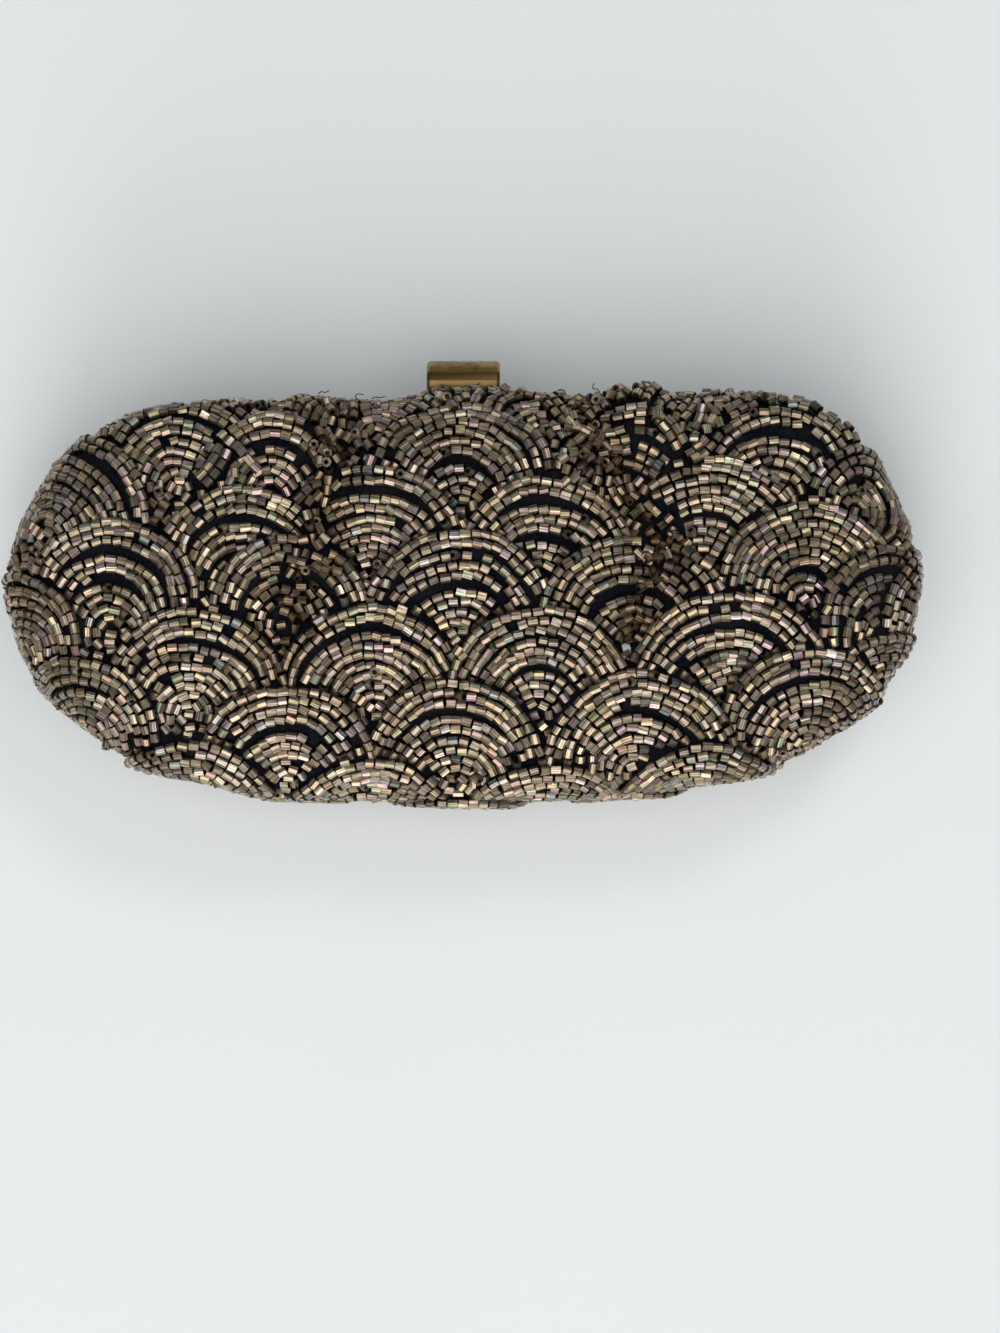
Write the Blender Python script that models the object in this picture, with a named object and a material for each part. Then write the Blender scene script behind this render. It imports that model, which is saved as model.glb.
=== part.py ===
"""Beaded evening clutch, modelled as it is assembled.

Two hard shells sit in brass channel frames that are hinged along the bottom
edge and held shut by a sprung lever at the top. Each shell is padded, covered
with cloth, sewn all over with beads and lined with satin.

The clutch lies on its back: +X runs along its width, +Y from the hinge to the
clasp and +Z from the rear face to the front face. Lengths are in metres.
Offsets are measured outwards from the rim, which is the outer face of both
frames. Heights are measured away from the parting plane between the halves.
"""

import math
from collections import namedtuple

import bmesh
import bpy
from mathutils import Matrix, Vector
from mathutils.geometry import delaunay_2d_cdt

# Form of the two halves
RIM_HALF_WIDTH = 0.1005
RIM_TOP = 0.0420
RIM_BOTTOM = 0.0425
SPINE_HALF_LENGTH = 0.0550
HALF_DEPTH = 0.0260
WIDEST_HEIGHT = 0.0110
BULGE = 0.0045
TOP_POWER = 6.0
BOTTOM_POWER = 3.0
DOME_POWER = 2.5
CROWN_SHARE = 0.35
DOME_SHARES = (0.924, 0.70)
STRAIGHT_STEPS = 10
END_STEPS = 12
BISECTIONS = 60

# Gaps between pieces that touch
FIT_GAP = 0.0003
SEAT_GAP = 0.0002

# Walls of the layers, from the outside in
BEAD_LAYER = 0.0030
BEAD_EDGE = 0.0020
COVER_WALL = 0.0007
PADDING_WALL = 0.0029
SHELL_WALL = 0.0018
LINING_WALL = 0.0008
POCKET_WALL = 0.0008

# Fans that the beads are laid in: each lies over the rim of the ones above it
FAN_PITCH = 0.0395
FAN_ROW_PITCH = 0.0157
FAN_FIRST_ROW = 0.0236
FAN_RADIUS = 0.0215
FAN_ROOM = 0.0175
FAN_ROWS = range(-7, 4)
FAN_COLUMNS = range(-4, 5)
FAN_REACH_SHARE = 1.22
FAN_LIFT = 0.0019
FAN_SINK_SHARE = 0.25
FAN_HEART_SHARE = 0.15
FAN_TUCK = 0.0013
TUCK_WIDTH = 0.0026

# Broad waves, folds and swellings of the cloth under the beads
WAVE_HEIGHT = 0.0004
WAVE_LENGTH = 0.0560
WAVE_SHIFT = 0.0120
FOLD_DEPTH = 0.0026
FOLD_WIDTH = 0.0055
FOLD_SIDE = 0.0120
FOLD_SIDE_WIDTH = 0.0060
FOLD_SIDE_SHARE = 0.25
SWELLING_HEIGHT = 0.0030

# Depth of the beads' middles, along which the cloth is measured, and the least wall that
# the relief leaves
LINE_DEPTH = 0.0010
LEAST_BEAD_WALL = 0.0008

# Where the relief ends: at the sides, beside the clasp, at the edges and on the rear's flat
SIDE_SINK = 0.0006
SIDE_SHARES = (0.55, 0.80)
CLASP_ROOM = 0.0150
CLASP_ROOM_FADE = 0.0080
CLASP_ROOM_SHARES = (0.65, 0.75)
EDGE_SHARE = 0.90
FLAT_SHARE = 0.55

# Levels of a skin: shares of the dome's reach up to 1 at the widest place, 2 where the skin
# meets the rim and 3 at its edge
PROFILE_SHARES = (
    0.0, 0.12, 0.24, CROWN_SHARE, 0.43, 0.51, 0.58, 0.65, 0.71, 0.77,
    0.82, 0.87, 0.91, 0.95, 0.98, 1.0, 1.25, 1.5, 1.75, 2.0, 3.0,
)

# Mesh of the beads' tops: how many of its spokes stand for one of the other layers, its
# rings along the sides, the two arcs along the rim of each fan, and the points in each
# fan's heart as shares of its radius with their number
SPOKE_PARTS = 2
RING_SHARES = (3.0, 2.0, 1.5, 1.0)
RIM_ARC_STEPS = 24
RIM_STEP = 0.0008
HEART_SHARES = ((0.0, 1), (0.36, 8), (0.70, 14))
FOLD_PARTS = 4
LEAST_SPACING = 0.0014
MERGE_DISTANCE = 0.0000014
INNER_SHARE = 0.97

# Places on the photo, in pixels. A fan has its centre or its top, and its radius. A
# swelling has its middle, its radius and its share of the swelling height.
PIXEL = 0.00023079
PHOTO_MIDDLE = (463, 600)
FAN_CENTRE_PIXELS = (
    (180, 480, 85), (275, 490, 75), (462, 500, 97), (632, 500, 85), (772, 490, 97),
    (862, 512, 62), (95, 540, 80), (248, 578, 88), (370, 575, 105), (545, 572, 90),
    (702, 567, 108), (806, 600, 95), (25, 645, 72), (117, 613, 90), (292, 620, 80),
    (462, 632, 98), (632, 640, 100), (886, 628, 78), (92, 730, 82), (200, 705, 95),
    (372, 700, 93), (538, 705, 96), (728, 700, 106), (884, 704, 78),
)
FAN_TOP_PIXELS = (
    (190, 738, 93), (289, 687, 93), (455, 682, 93), (640, 672, 96), (808, 648, 94),
    (372, 757, 88), (545, 762, 88), (705, 742, 92),
)
FOLD_PIXELS = (
    ((337, 415), (333, 460), (322, 520), (305, 590), (282, 650)),
    ((588, 395), (598, 450), (640, 510), (660, 565), (628, 640)),
)
SWELLING_PIXELS = (
    (610, 392, 48, 0.87), (520, 392, 52, 0.60), (460, 402, 43, 0.30), (380, 412, 43, -0.40),
    (838, 418, 61, 1.00), (150, 770, 61, 0.60), (905, 560, 52, 0.27), (440, 560, 87, 0.40),
    (740, 640, 87, 0.33), (190, 590, 87, 0.33), (560, 790, 61, -0.33),
)

# Channel frames
FLANGE_WALL = 0.0008
WEB_WALL = 0.00095
PARTING_GAP = 0.0003
FLANGE_TOP = 0.0051
COVER_LAP = 0.0009
BEAD_SETBACK = 0.0004
LINING_EDGE = 0.0006

# Pocket in the rear lining
POCKET_HALF_WIDTH = 0.0440
BINDING_WIDTH = 0.0040
BINDING_WALL = 0.0006

# Plates riveted to the frames, and their rivets
PLATE_WALL = 0.0008
PLATE_INSET = 0.0007
PLATE_CORNER = 0.0004
RIVET_RADIUS = 0.0005
RIVET_HEAD_RADIUS = 0.0009
RIVET_HEAD_HEIGHT = 0.00045
RIVET_SIDES = 12
DRILL_OVERRUN = 0.0010

# Hinge along the bottom edge
HINGE_LENGTH = 0.0480
HINGE_KNUCKLES = 5
KNUCKLE_GAP = 0.0003
BARREL_RADIUS = 0.0016
HINGE_PIN_RADIUS = 0.00065
HINGE_PIN_END = 0.0003
LEAF_END = 0.0005
HINGE_RIVET_END = 0.0060
ROUND_SIDES = 20

# Lever of the clasp
BAR_RADIUS = 0.0046
BAR_WALL = 0.0008
BAR_HALF_LENGTH = 0.0083
BAR_OFFSET = 0.0082
BAR_EDGE = 0.0011
BAR_EDGE_STEPS = 3
BAR_SIDES = 32
LIP_ANGLE = math.radians(-50)
BACK_ANGLE = math.radians(205)
MOUTH_STEPS = 20

# Bracket, pin and spring that carry the lever
PIVOT_OFFSET = 0.0064
PIVOT_HEIGHT = 0.0016
CLASP_PIN_RADIUS = 0.0006
CLASP_PLATE_HALF_WIDTH = 0.0066
EAR_PLACE = 0.0046
EAR_WALL = 0.0010
EAR_RADIUS = 0.0015
EAR_STEM_HALF = 0.0010
EAR_STEPS = 14
BRACKET_RIVET_PLACE = 0.0024
SPRING_RADIUS = 0.00115
SPRING_WIRE = 0.0002
SPRING_TURNS = 5
SPRING_TURN_STEPS = 10
SPRING_HALF_LENGTH = 0.0039

# Strike plate that the lever's lip closes over
CATCH_GAP = 0.0002
LUG_HALF_WIDTH = 0.0030
LUG_NEAR = 0.0012
LUG_WALL = 0.0010
LUG_NOSE = 0.0007
LUG_CHAMFER = 0.0004
STRIKE_RIVET_PLACE = 0.0048

# Heights and offsets that follow from the sizes above
PARTING_HEIGHT = HALF_DEPTH
WEB_LOW = PARTING_GAP / 2
WEB_HIGH = WEB_LOW + WEB_WALL
BLEND_START = FLANGE_TOP + FIT_GAP
COVER_EDGE = FLANGE_TOP - COVER_LAP
BEAD_EDGE_HEIGHT = COVER_EDGE + BEAD_SETBACK
SHELL_EDGE = WEB_HIGH + FIT_GAP
FRAME_WIDTH = 2 * FLANGE_WALL + SHELL_WALL + 2 * FIT_GAP
PLATE_INNER = FIT_GAP
PLATE_OUTER = PLATE_INNER + PLATE_WALL
PLATE_MIDDLE = (PLATE_INNER + PLATE_OUTER) / 2
PLATE_FAR = COVER_EDGE - FIT_GAP
PLATE_RIVET_HEIGHT = (PLATE_INSET + PLATE_FAR) / 2
HINGE_OFFSET = PLATE_INNER + BARREL_RADIUS
KNUCKLE_LENGTH = (HINGE_LENGTH - (HINGE_KNUCKLES - 1) * KNUCKLE_GAP) / HINGE_KNUCKLES
HINGE_RIVET_PLACE = HINGE_LENGTH / 2 - HINGE_RIVET_END
BAR_INNER_RADIUS = BAR_RADIUS - BAR_WALL

HINGE_AXIS = Vector((0, -(RIM_BOTTOM + HINGE_OFFSET), PARTING_HEIGHT))
BAR_CENTRE = Vector((0, RIM_TOP + BAR_OFFSET, PARTING_HEIGHT))
CLASP_AXIS = Vector((0, RIM_TOP + PIVOT_OFFSET, PARTING_HEIGHT - PIVOT_HEIGHT))

FRONT = 1
REAR = -1
INSIDE_EDGES = 1

# A skin is one side of a layer: its depth below the beads and its offset at the rim
Skin = namedtuple("Skin", "inset rim edge_height")
Spoke = namedtuple("Spoke", "foot direction reach")
Fan = namedtuple("Fan", "centre radius")
Finish = namedtuple("Finish", "colour roughness metallic")

FINISHES = {
    "bronze_beads": Finish((0.36, 0.29, 0.22), 0.30, 0.70),
    "navy_cloth": Finish((0.012, 0.013, 0.022), 0.75, 0.0),
    "wadding": Finish((0.70, 0.68, 0.63), 0.90, 0.0),
    "pressed_shell": Finish((0.10, 0.09, 0.08), 0.60, 0.0),
    "black_satin": Finish((0.015, 0.015, 0.019), 0.35, 0.0),
    "antique_brass": Finish((0.44, 0.32, 0.15), 0.34, 1.0),
    "spring_steel": Finish((0.52, 0.52, 0.54), 0.30, 1.0),
}


def clear_scene():
    """Remove the objects that a new file starts with."""
    for item in list(bpy.data.objects):
        bpy.data.objects.remove(item, do_unlink=True)


def make_materials():
    """One Principled material for each finish."""
    materials = {}
    for name, finish in FINISHES.items():
        material = bpy.data.materials.new(name)
        material.use_nodes = True
        shader = material.node_tree.nodes["Principled BSDF"]
        shader.inputs["Base Color"].default_value = (*finish.colour, 1.0)
        shader.inputs["Roughness"].default_value = finish.roughness
        shader.inputs["Metallic"].default_value = finish.metallic
        material.diffuse_color = (*finish.colour, 1.0)
        materials[name] = material
    return materials


def add_axis(name, place):
    """An empty that a body's pieces hang from, on the axis that the body turns about."""
    empty = bpy.data.objects.new(name, None)
    empty.location = place
    empty.empty_display_size = BARREL_RADIUS
    bpy.context.collection.objects.link(empty)
    return empty


def mesh_from(name, bm):
    """Turn a bmesh into mesh data with outward faces and smooth round sides."""
    bmesh.ops.recalc_face_normals(bm, faces=bm.faces)
    mesh = bpy.data.meshes.new(name)
    bm.to_mesh(mesh)
    bm.free()
    mesh.shade_smooth()
    mesh.set_sharp_from_angle(angle=math.radians(32))
    return mesh


def add_piece(name, bm, material, axis):
    """Add one solid, drawn in the part's frame, with its origin on its body's axis."""
    bmesh.ops.translate(bm, verts=bm.verts, vec=-axis.location)
    mesh = mesh_from(name, bm)
    mesh.materials.append(material)
    piece = bpy.data.objects.new(name, mesh)
    piece.parent = axis
    bpy.context.collection.objects.link(piece)
    return piece


def shape_with(piece, operation, name, bm):
    """Cut a shape out of a piece, or join it on, with a Boolean modifier."""
    bmesh.ops.translate(bm, verts=bm.verts, vec=-piece.parent.location)
    tool = bpy.data.objects.new(name, mesh_from(name, bm))
    tool.parent = piece.parent
    tool.display_type = "WIRE"
    tool.hide_render = True
    bpy.context.collection.objects.link(tool)
    modifier = piece.modifiers.new(name, "BOOLEAN")
    modifier.operation = operation
    modifier.solver = "EXACT"
    modifier.object = tool


# Rim outline and the spokes that every layer shares

def inside_rim(point):
    """Whether a point of the plan view lies within the rim outline."""
    power = TOP_POWER if point.y >= 0 else BOTTOM_POWER
    height = RIM_TOP if point.y >= 0 else RIM_BOTTOM
    return abs(point.x / RIM_HALF_WIDTH) ** power + (point.y / height) ** 2 < 1


def make_spoke(foot_x, angle):
    """The spoke that leaves the spine at foot_x, and its reach to the rim."""
    foot = Vector((foot_x, 0))
    direction = Vector((math.cos(angle), math.sin(angle)))
    near = 0.0
    far = RIM_HALF_WIDTH + RIM_TOP + RIM_BOTTOM
    for _ in range(BISECTIONS):
        middle = (near + far) / 2
        if inside_rim(foot + direction * middle):
            near = middle
        else:
            far = middle
    return Spoke(foot, direction, near)


def straight_places(steps=STRAIGHT_STEPS):
    """Places along the spine where the upright spokes stand."""
    step = 2 * SPINE_HALF_LENGTH / steps
    return [-SPINE_HALF_LENGTH + step * index for index in range(steps + 1)]


def make_spokes(straight_steps, end_steps):
    """All spokes, anticlockwise from the left end of the bottom edge."""
    up = math.pi / 2
    turn = math.pi / end_steps
    places = straight_places(straight_steps)
    spokes = [make_spoke(place, -up) for place in places[:-1]]
    spokes += [make_spoke(SPINE_HALF_LENGTH, -up + turn * step) for step in range(end_steps)]
    spokes += [make_spoke(place, up) for place in reversed(places[1:])]
    spokes += [make_spoke(-SPINE_HALF_LENGTH, up + turn * step) for step in range(end_steps)]
    return spokes


SPOKES = make_spokes(STRAIGHT_STEPS, END_STEPS)
BEAD_SPOKES = make_spokes(SPOKE_PARTS * STRAIGHT_STEPS, SPOKE_PARTS * END_STEPS)


def dome_height(share):
    """Height of the dome at a share of its reach, as a share of that at its crown's edge."""
    return ((1 - share ** DOME_POWER) / (1 - CROWN_SHARE ** DOME_POWER)) ** (1 / DOME_POWER)


def on_half(plan, height, half):
    """A point of the plan view at a height above the parting plane, on one half."""
    return Vector((plan.x, plan.y, PARTING_HEIGHT + half * height))


def level_point(spoke, offset, height, half):
    """The point of a spoke that lies at an offset from the rim."""
    return on_half(spoke.foot + spoke.direction * (spoke.reach + offset), height, half)


def dome_point(spoke, inset, share, half):
    """The point of a domed skin at a share of its reach along a spoke."""
    reach = (spoke.reach + BULGE - inset) * share
    rise = (HALF_DEPTH - WIDEST_HEIGHT - inset) * dome_height(share)
    return on_half(spoke.foot + spoke.direction * reach, WIDEST_HEIGHT + rise, half)


def skin_rings(skin, half):
    """Rings of a skin from its edge at the frame to the flat of its crown."""
    levels = []
    if skin.edge_height < BLEND_START:
        levels.append((skin.rim, skin.edge_height))
    levels.append((skin.rim, BLEND_START))
    levels.append((BULGE - skin.inset, WIDEST_HEIGHT))
    rings = [[level_point(spoke, *level, half) for spoke in SPOKES] for level in levels]
    for share in (*DOME_SHARES, CROWN_SHARE):
        rings.append([dome_point(spoke, skin.inset, share, half) for spoke in SPOKES])
    return rings


def add_ring(bm, points):
    """Vertices at a ring of points."""
    return [bm.verts.new(point) for point in points]


def add_strip(bm, first, second):
    """Faces between two rings of vertices, in which neighbours may share a vertex."""
    for index in range(len(first)):
        after = (index + 1) % len(first)
        corners = (first[index], first[after], second[after], second[index])
        corners = list(dict.fromkeys(corners))
        if len(corners) > 2:
            bm.faces.new(corners)


def layer_shape(outer_rings, inner_rings):
    """A domed layer: outer skin, inner skin, flat crowns and the edge between them."""
    bm = bmesh.new()
    outer = [add_ring(bm, ring) for ring in outer_rings]
    inner = [add_ring(bm, ring) for ring in inner_rings]
    for skin in (outer, inner):
        for lower, upper in zip(skin, skin[1:]):
            add_strip(bm, lower, upper)
        bm.faces.new(skin[-1])
    add_strip(bm, outer[0], inner[0])
    return bm


def frame_shape(half):
    """A channel that runs all round the rim and holds the edge of the shell."""
    profile = [
        (-FRAME_WIDTH, WEB_LOW),
        (0, WEB_LOW),
        (0, FLANGE_TOP),
        (-FLANGE_WALL, FLANGE_TOP),
        (-FLANGE_WALL, WEB_HIGH),
        (FLANGE_WALL - FRAME_WIDTH, WEB_HIGH),
        (FLANGE_WALL - FRAME_WIDTH, FLANGE_TOP),
        (-FRAME_WIDTH, FLANGE_TOP),
    ]
    bm = bmesh.new()
    rings = []
    for offset, height in profile:
        rings.append(add_ring(bm, [level_point(spoke, offset, height, half) for spoke in SPOKES]))
    for first, second in zip(rings, rings[1:] + rings[:1]):
        add_strip(bm, first, second)
    return bm


# Plain solids that the fittings are made from

def box_shape(low, high, corner=0.0):
    """A box between two corners, with its edges taken off by a chamfer."""
    bm = bmesh.new()
    size = high - low
    centre = (low + high) / 2
    matrix = Matrix.Translation(centre) @ Matrix.Diagonal((*size, 1))
    bmesh.ops.create_cube(bm, size=1, matrix=matrix)
    if corner:
        bmesh.ops.bevel(bm, geom=bm.edges[:], offset=corner, segments=1, affect="EDGES")
    return bm


def add_rod(bm, start, end, radius, sides):
    """A round rod between two points, added to a shape."""
    axis = end - start
    turn = Vector((0, 0, 1)).rotation_difference(axis).to_matrix().to_4x4()
    matrix = Matrix.Translation((start + end) / 2) @ turn
    bmesh.ops.create_cone(
        bm,
        cap_ends=True,
        segments=sides,
        radius1=radius,
        radius2=radius,
        depth=axis.length,
        matrix=matrix,
    )


def cross_rods(axis, spans, radius, sides=ROUND_SIDES):
    """Rods along X about one axis, one for each span of X."""
    bm = bmesh.new()
    for near, far in spans:
        start = Vector((near, axis.y, axis.z))
        end = Vector((far, axis.y, axis.z))
        add_rod(bm, start, end, radius, sides)
    return bm


def outline_shape(outline, near, far):
    """A closed outline of (Y, Z) points, extruded from one place of X to another."""
    bm = bmesh.new()
    face = bm.faces.new([bm.verts.new((near, y, z)) for y, z in outline])
    grown = bmesh.ops.extrude_face_region(bm, geom=[face])
    moved = [item for item in grown["geom"] if isinstance(item, bmesh.types.BMVert)]
    bmesh.ops.translate(bm, verts=moved, vec=Vector((far - near, 0, 0)))
    return bm


def pin_shape(axis, half_length, radius, chamfer):
    """A round pin along X with chamfered ends."""
    bm = cross_rods(axis, [(-half_length, half_length)], radius)
    rims = [edge for edge in bm.edges if abs(edge.verts[0].co.x - edge.verts[1].co.x) < chamfer]
    bmesh.ops.bevel(bm, geom=rims, offset=chamfer, segments=1, affect="EDGES")
    return bm


# Rivets, which are all alike

def rivet_mesh():
    """A round-headed rivet about Z, with the underside of its head at the origin."""
    shank = SEAT_GAP + PLATE_OUTER + FLANGE_WALL
    side = math.radians(45)
    profile = [
        (RIVET_RADIUS, -shank),
        (RIVET_RADIUS, 0),
        (RIVET_HEAD_RADIUS, 0),
        (RIVET_HEAD_RADIUS * math.cos(side), RIVET_HEAD_HEIGHT * math.sin(side)),
    ]
    bm = bmesh.new()
    rings = []
    for radius, height in profile:
        ring = []
        for step in range(RIVET_SIDES):
            angle = 2 * math.pi * step / RIVET_SIDES
            ring.append(Vector((radius * math.cos(angle), radius * math.sin(angle), height)))
        rings.append(add_ring(bm, ring))
    for first, second in zip(rings, rings[1:]):
        add_strip(bm, first, second)
    bm.faces.new(rings[0])
    tip = bm.verts.new((0, 0, RIVET_HEAD_HEIGHT))
    for first, second in zip(rings[-1], rings[-1][1:] + rings[-1][:1]):
        bm.faces.new((first, second, tip))
    return mesh_from("rivet", bm)


def add_rivets(name, mesh, places, outward, half, axis):
    """A row of rivets through a plate and its frame, their heads facing outward."""
    rim = RIM_TOP if outward > 0 else RIM_BOTTOM
    for number, place in enumerate(places, start=1):
        seat = Vector((
            place,
            outward * (rim + PLATE_OUTER + SEAT_GAP),
            PARTING_HEIGHT + half * PLATE_RIVET_HEIGHT,
        ))
        rivet = bpy.data.objects.new(f"{name}_{number}", mesh)
        rivet.parent = axis
        rivet.location = seat - axis.location
        rivet.rotation_euler = (-outward * math.pi / 2, 0, 0)
        bpy.context.collection.objects.link(rivet)


def rivet_holes(places, outward, half):
    """Clearance holes for a row of rivets, through the plate and the frame's flange."""
    rim = RIM_TOP if outward > 0 else RIM_BOTTOM
    bm = bmesh.new()
    for place in places:
        height = PARTING_HEIGHT + half * PLATE_RIVET_HEIGHT
        start = Vector((place, outward * (rim - FLANGE_WALL - FIT_GAP - DRILL_OVERRUN), height))
        end = Vector((place, outward * (rim + PLATE_OUTER + DRILL_OVERRUN), height))
        add_rod(bm, start, end, RIVET_RADIUS + SEAT_GAP, RIVET_SIDES)
    return bm


def plate_shape(half_width, outward, half):
    """A flat plate that lies against the outer face of one frame."""
    rim = RIM_TOP if outward > 0 else RIM_BOTTOM
    sides = sorted((outward * (rim + PLATE_INNER), outward * (rim + PLATE_OUTER)))
    levels = sorted((PARTING_HEIGHT + half * PLATE_INSET, PARTING_HEIGHT + half * PLATE_FAR))
    low = Vector((-half_width, sides[0], levels[0]))
    high = Vector((half_width, sides[1], levels[1]))
    return box_shape(low, high)


# The layers of one half

def layer_skins():
    """The outer and inner skin of each layer, from the beads to the lining."""
    depth = 0.0
    skins = {}
    cover_rim = FIT_GAP + COVER_WALL
    bead_rim = cover_rim + FIT_GAP
    shell_rim = -(FLANGE_WALL + FIT_GAP)
    lining_rim = -(FRAME_WIDTH + FIT_GAP)
    layers = [
        ("beadwork", BEAD_LAYER, bead_rim + BEAD_EDGE, bead_rim, BEAD_EDGE_HEIGHT),
        ("cover", COVER_WALL, cover_rim, FIT_GAP, COVER_EDGE),
        ("padding", PADDING_WALL, 0.0, shell_rim + FIT_GAP, BLEND_START),
        ("shell", SHELL_WALL, shell_rim, shell_rim - SHELL_WALL, SHELL_EDGE),
        ("lining", LINING_WALL, lining_rim, lining_rim - LINING_WALL, LINING_EDGE),
    ]
    for name, wall, outer_rim, inner_rim, edge_height in layers:
        outer = Skin(depth, outer_rim, edge_height)
        inner = Skin(depth + wall, inner_rim, edge_height)
        skins[name] = (outer, inner)
        depth += wall + FIT_GAP
    return skins


LAYER_SKINS = layer_skins()
LAYER_FINISHES = {
    "beadwork": "bronze_beads",
    "cover": "navy_cloth",
    "padding": "wadding",
    "shell": "pressed_shell",
    "lining": "black_satin",
}


# Relief of the beaded cloth. A place on the fabric is given as if the cloth of one half
# were spread flat from its spine.

def ease_between(low, high, value):
    """A smooth step from 0 at low to 1 at high."""
    share = min(max((value - low) / (high - low), 0.0), 1.0)
    return share * share * (3 - 2 * share)


def skin_place(spoke, skin, level, half):
    """Reach and height of a skin at one level of a spoke."""
    if level <= 1:
        share = max(level, CROWN_SHARE) if half == REAR else level
        rise = (HALF_DEPTH - WIDEST_HEIGHT - skin.inset) * dome_height(share)
        return (spoke.reach + BULGE - skin.inset) * level, WIDEST_HEIGHT + rise
    if level <= 2:
        share = 2 - level
        bulge = (BULGE - skin.inset - skin.rim) * ease_between(0, 1, share)
        height = BLEND_START + (WIDEST_HEIGHT - BLEND_START) * share
        return spoke.reach + skin.rim + bulge, height
    return spoke.reach + skin.rim, skin.edge_height


def skin_profile(spoke, skin, half):
    """Reach and height of a skin at every level from the spine to its edge."""
    return [Vector(skin_place(spoke, skin, level, half)) for level in PROFILE_SHARES]


def fabric_runs(spoke, half):
    """The line of the beads' middles on a spoke, and its length from the spine to each level."""
    outer = LAYER_SKINS["beadwork"][0]
    line = Skin(outer.inset + LINE_DEPTH, outer.rim - LINE_DEPTH, outer.edge_height)
    profile = skin_profile(spoke, line, half)
    runs = [0.0]
    for place, after in zip(profile, profile[1:]):
        runs.append(runs[-1] + (after - place).length)
    return profile, runs


def spoke_through(plan):
    """The spoke that a point of the plan view lies on, and the point's reach on it."""
    foot = max(-SPINE_HALF_LENGTH, min(SPINE_HALF_LENGTH, plan.x))
    away = plan - Vector((foot, 0))
    return make_spoke(foot, math.atan2(away.y, away.x)), away.length


def fabric_place(plan):
    """The place on the fabric of the front of a point of the plan view."""
    spoke, away = spoke_through(plan)
    profile, runs = fabric_runs(spoke, FRONT)
    reaches = [place.x for place in profile]
    widest = reaches.index(max(reaches))
    index = next((number for number in range(1, widest) if reaches[number] > away), widest)
    share = (away - reaches[index - 1]) / (reaches[index] - reaches[index - 1])
    run = runs[index - 1] + (runs[index] - runs[index - 1]) * min(share, 1)
    return spoke.foot + spoke.direction * run


def in_crown(place):
    """Whether a place on the fabric of the rear lies on the flat of its crown."""
    spoke, run = spoke_through(place)
    _, runs = fabric_runs(spoke, REAR)
    return run < runs[PROFILE_SHARES.index(CROWN_SHARE)] + LEAST_SPACING


def fabric_share(place, half):
    """How far towards the edge a place on the fabric lies, 1 at the edge."""
    spoke, away = spoke_through(place)
    _, runs = fabric_runs(spoke, half)
    return away / runs[-1]


def from_pixel(x, y):
    """The place on the fabric of the front that a pixel of the photo shows."""
    plan = Vector(((x - PHOTO_MIDDLE[0]) * PIXEL, (PHOTO_MIDDLE[1] - y) * PIXEL))
    return fabric_place(plan)


def photo_fans():
    """The fans that the photo shows on the front."""
    fans = [Fan(from_pixel(x, y), radius * PIXEL) for x, y, radius in FAN_CENTRE_PIXELS]
    for x, y, radius in FAN_TOP_PIXELS:
        fans.append(Fan(from_pixel(x, y) - Vector((0, radius * PIXEL)), radius * PIXEL))
    return fans


def even_fans(taken, half):
    """Evenly spaced fans wherever no other is near."""
    fans = []
    for row in FAN_ROWS:
        shift = FAN_PITCH / 2 if row % 2 else 0.0
        for column in FAN_COLUMNS:
            place = Vector((column * FAN_PITCH + shift, FAN_FIRST_ROW + row * FAN_ROW_PITCH))
            near = any((place - fan.centre).length < FAN_ROOM for fan in taken)
            if not near and fabric_share(place, half) < FAN_REACH_SHARE:
                fans.append(Fan(place, FAN_RADIUS))
    return fans


def make_fans(half):
    """All fans of one half, from the one that lies under all others to the topmost."""
    fans = photo_fans() if half == FRONT else []
    fans += even_fans(fans, half)
    return sorted(fans, key=lambda fan: -fan.centre.y)


def owner_of(place, fans):
    """The number of the uppermost fan at a place, or -1."""
    for number in reversed(range(len(fans))):
        if (place - fans[number].centre).length < fans[number].radius:
            return number
    return -1


def fan_relief(place, fans):
    """Height of the fans at a place: each rises to its rim, where it lies over the next."""
    owner = owner_of(place, fans)
    if owner < 0:
        return -FAN_TUCK
    share = (place - fans[owner].centre).length / fans[owner].radius
    rooms = [(place - fan.centre).length - fan.radius for fan in fans[owner + 1:]]
    rise = FAN_LIFT * (ease_between(FAN_HEART_SHARE, 1, share) - FAN_SINK_SHARE)
    return rise - FAN_TUCK * math.exp(-min(rooms, default=FAN_PITCH) / TUCK_WIDTH)


def wave_relief(place):
    """Height of the broad waves at a place."""
    turns = (place + Vector((WAVE_SHIFT, 0))) * (2 * math.pi / WAVE_LENGTH)
    return WAVE_HEIGHT * (math.sin(turns.x) * math.sin(turns.y) + math.sin(turns.x - turns.y))


def to_line(place, line):
    """Distance from a place to a line of points."""
    nearest = math.inf
    for start, end in zip(line, line[1:]):
        way = end - start
        share = min(max((place - start).dot(way) / way.length_squared, 0.0), 1.0)
        nearest = min(nearest, (place - start - way * share).length)
    return nearest


def photo_relief(place, folds, swellings):
    """Height at a place of the folds and swellings that the photo shows."""
    height = 0.0
    for line in folds:
        away = to_line(place, line)
        side = (away - FOLD_SIDE) / FOLD_SIDE_WIDTH
        height += FOLD_DEPTH * FOLD_SIDE_SHARE * math.exp(-side ** 2)
        height -= FOLD_DEPTH * math.exp(-(away / FOLD_WIDTH) ** 2)
    for middle, radius, share in swellings:
        away = (place - middle).length / radius
        height += SWELLING_HEIGHT * share * math.exp(-away ** 2)
    return height


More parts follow.
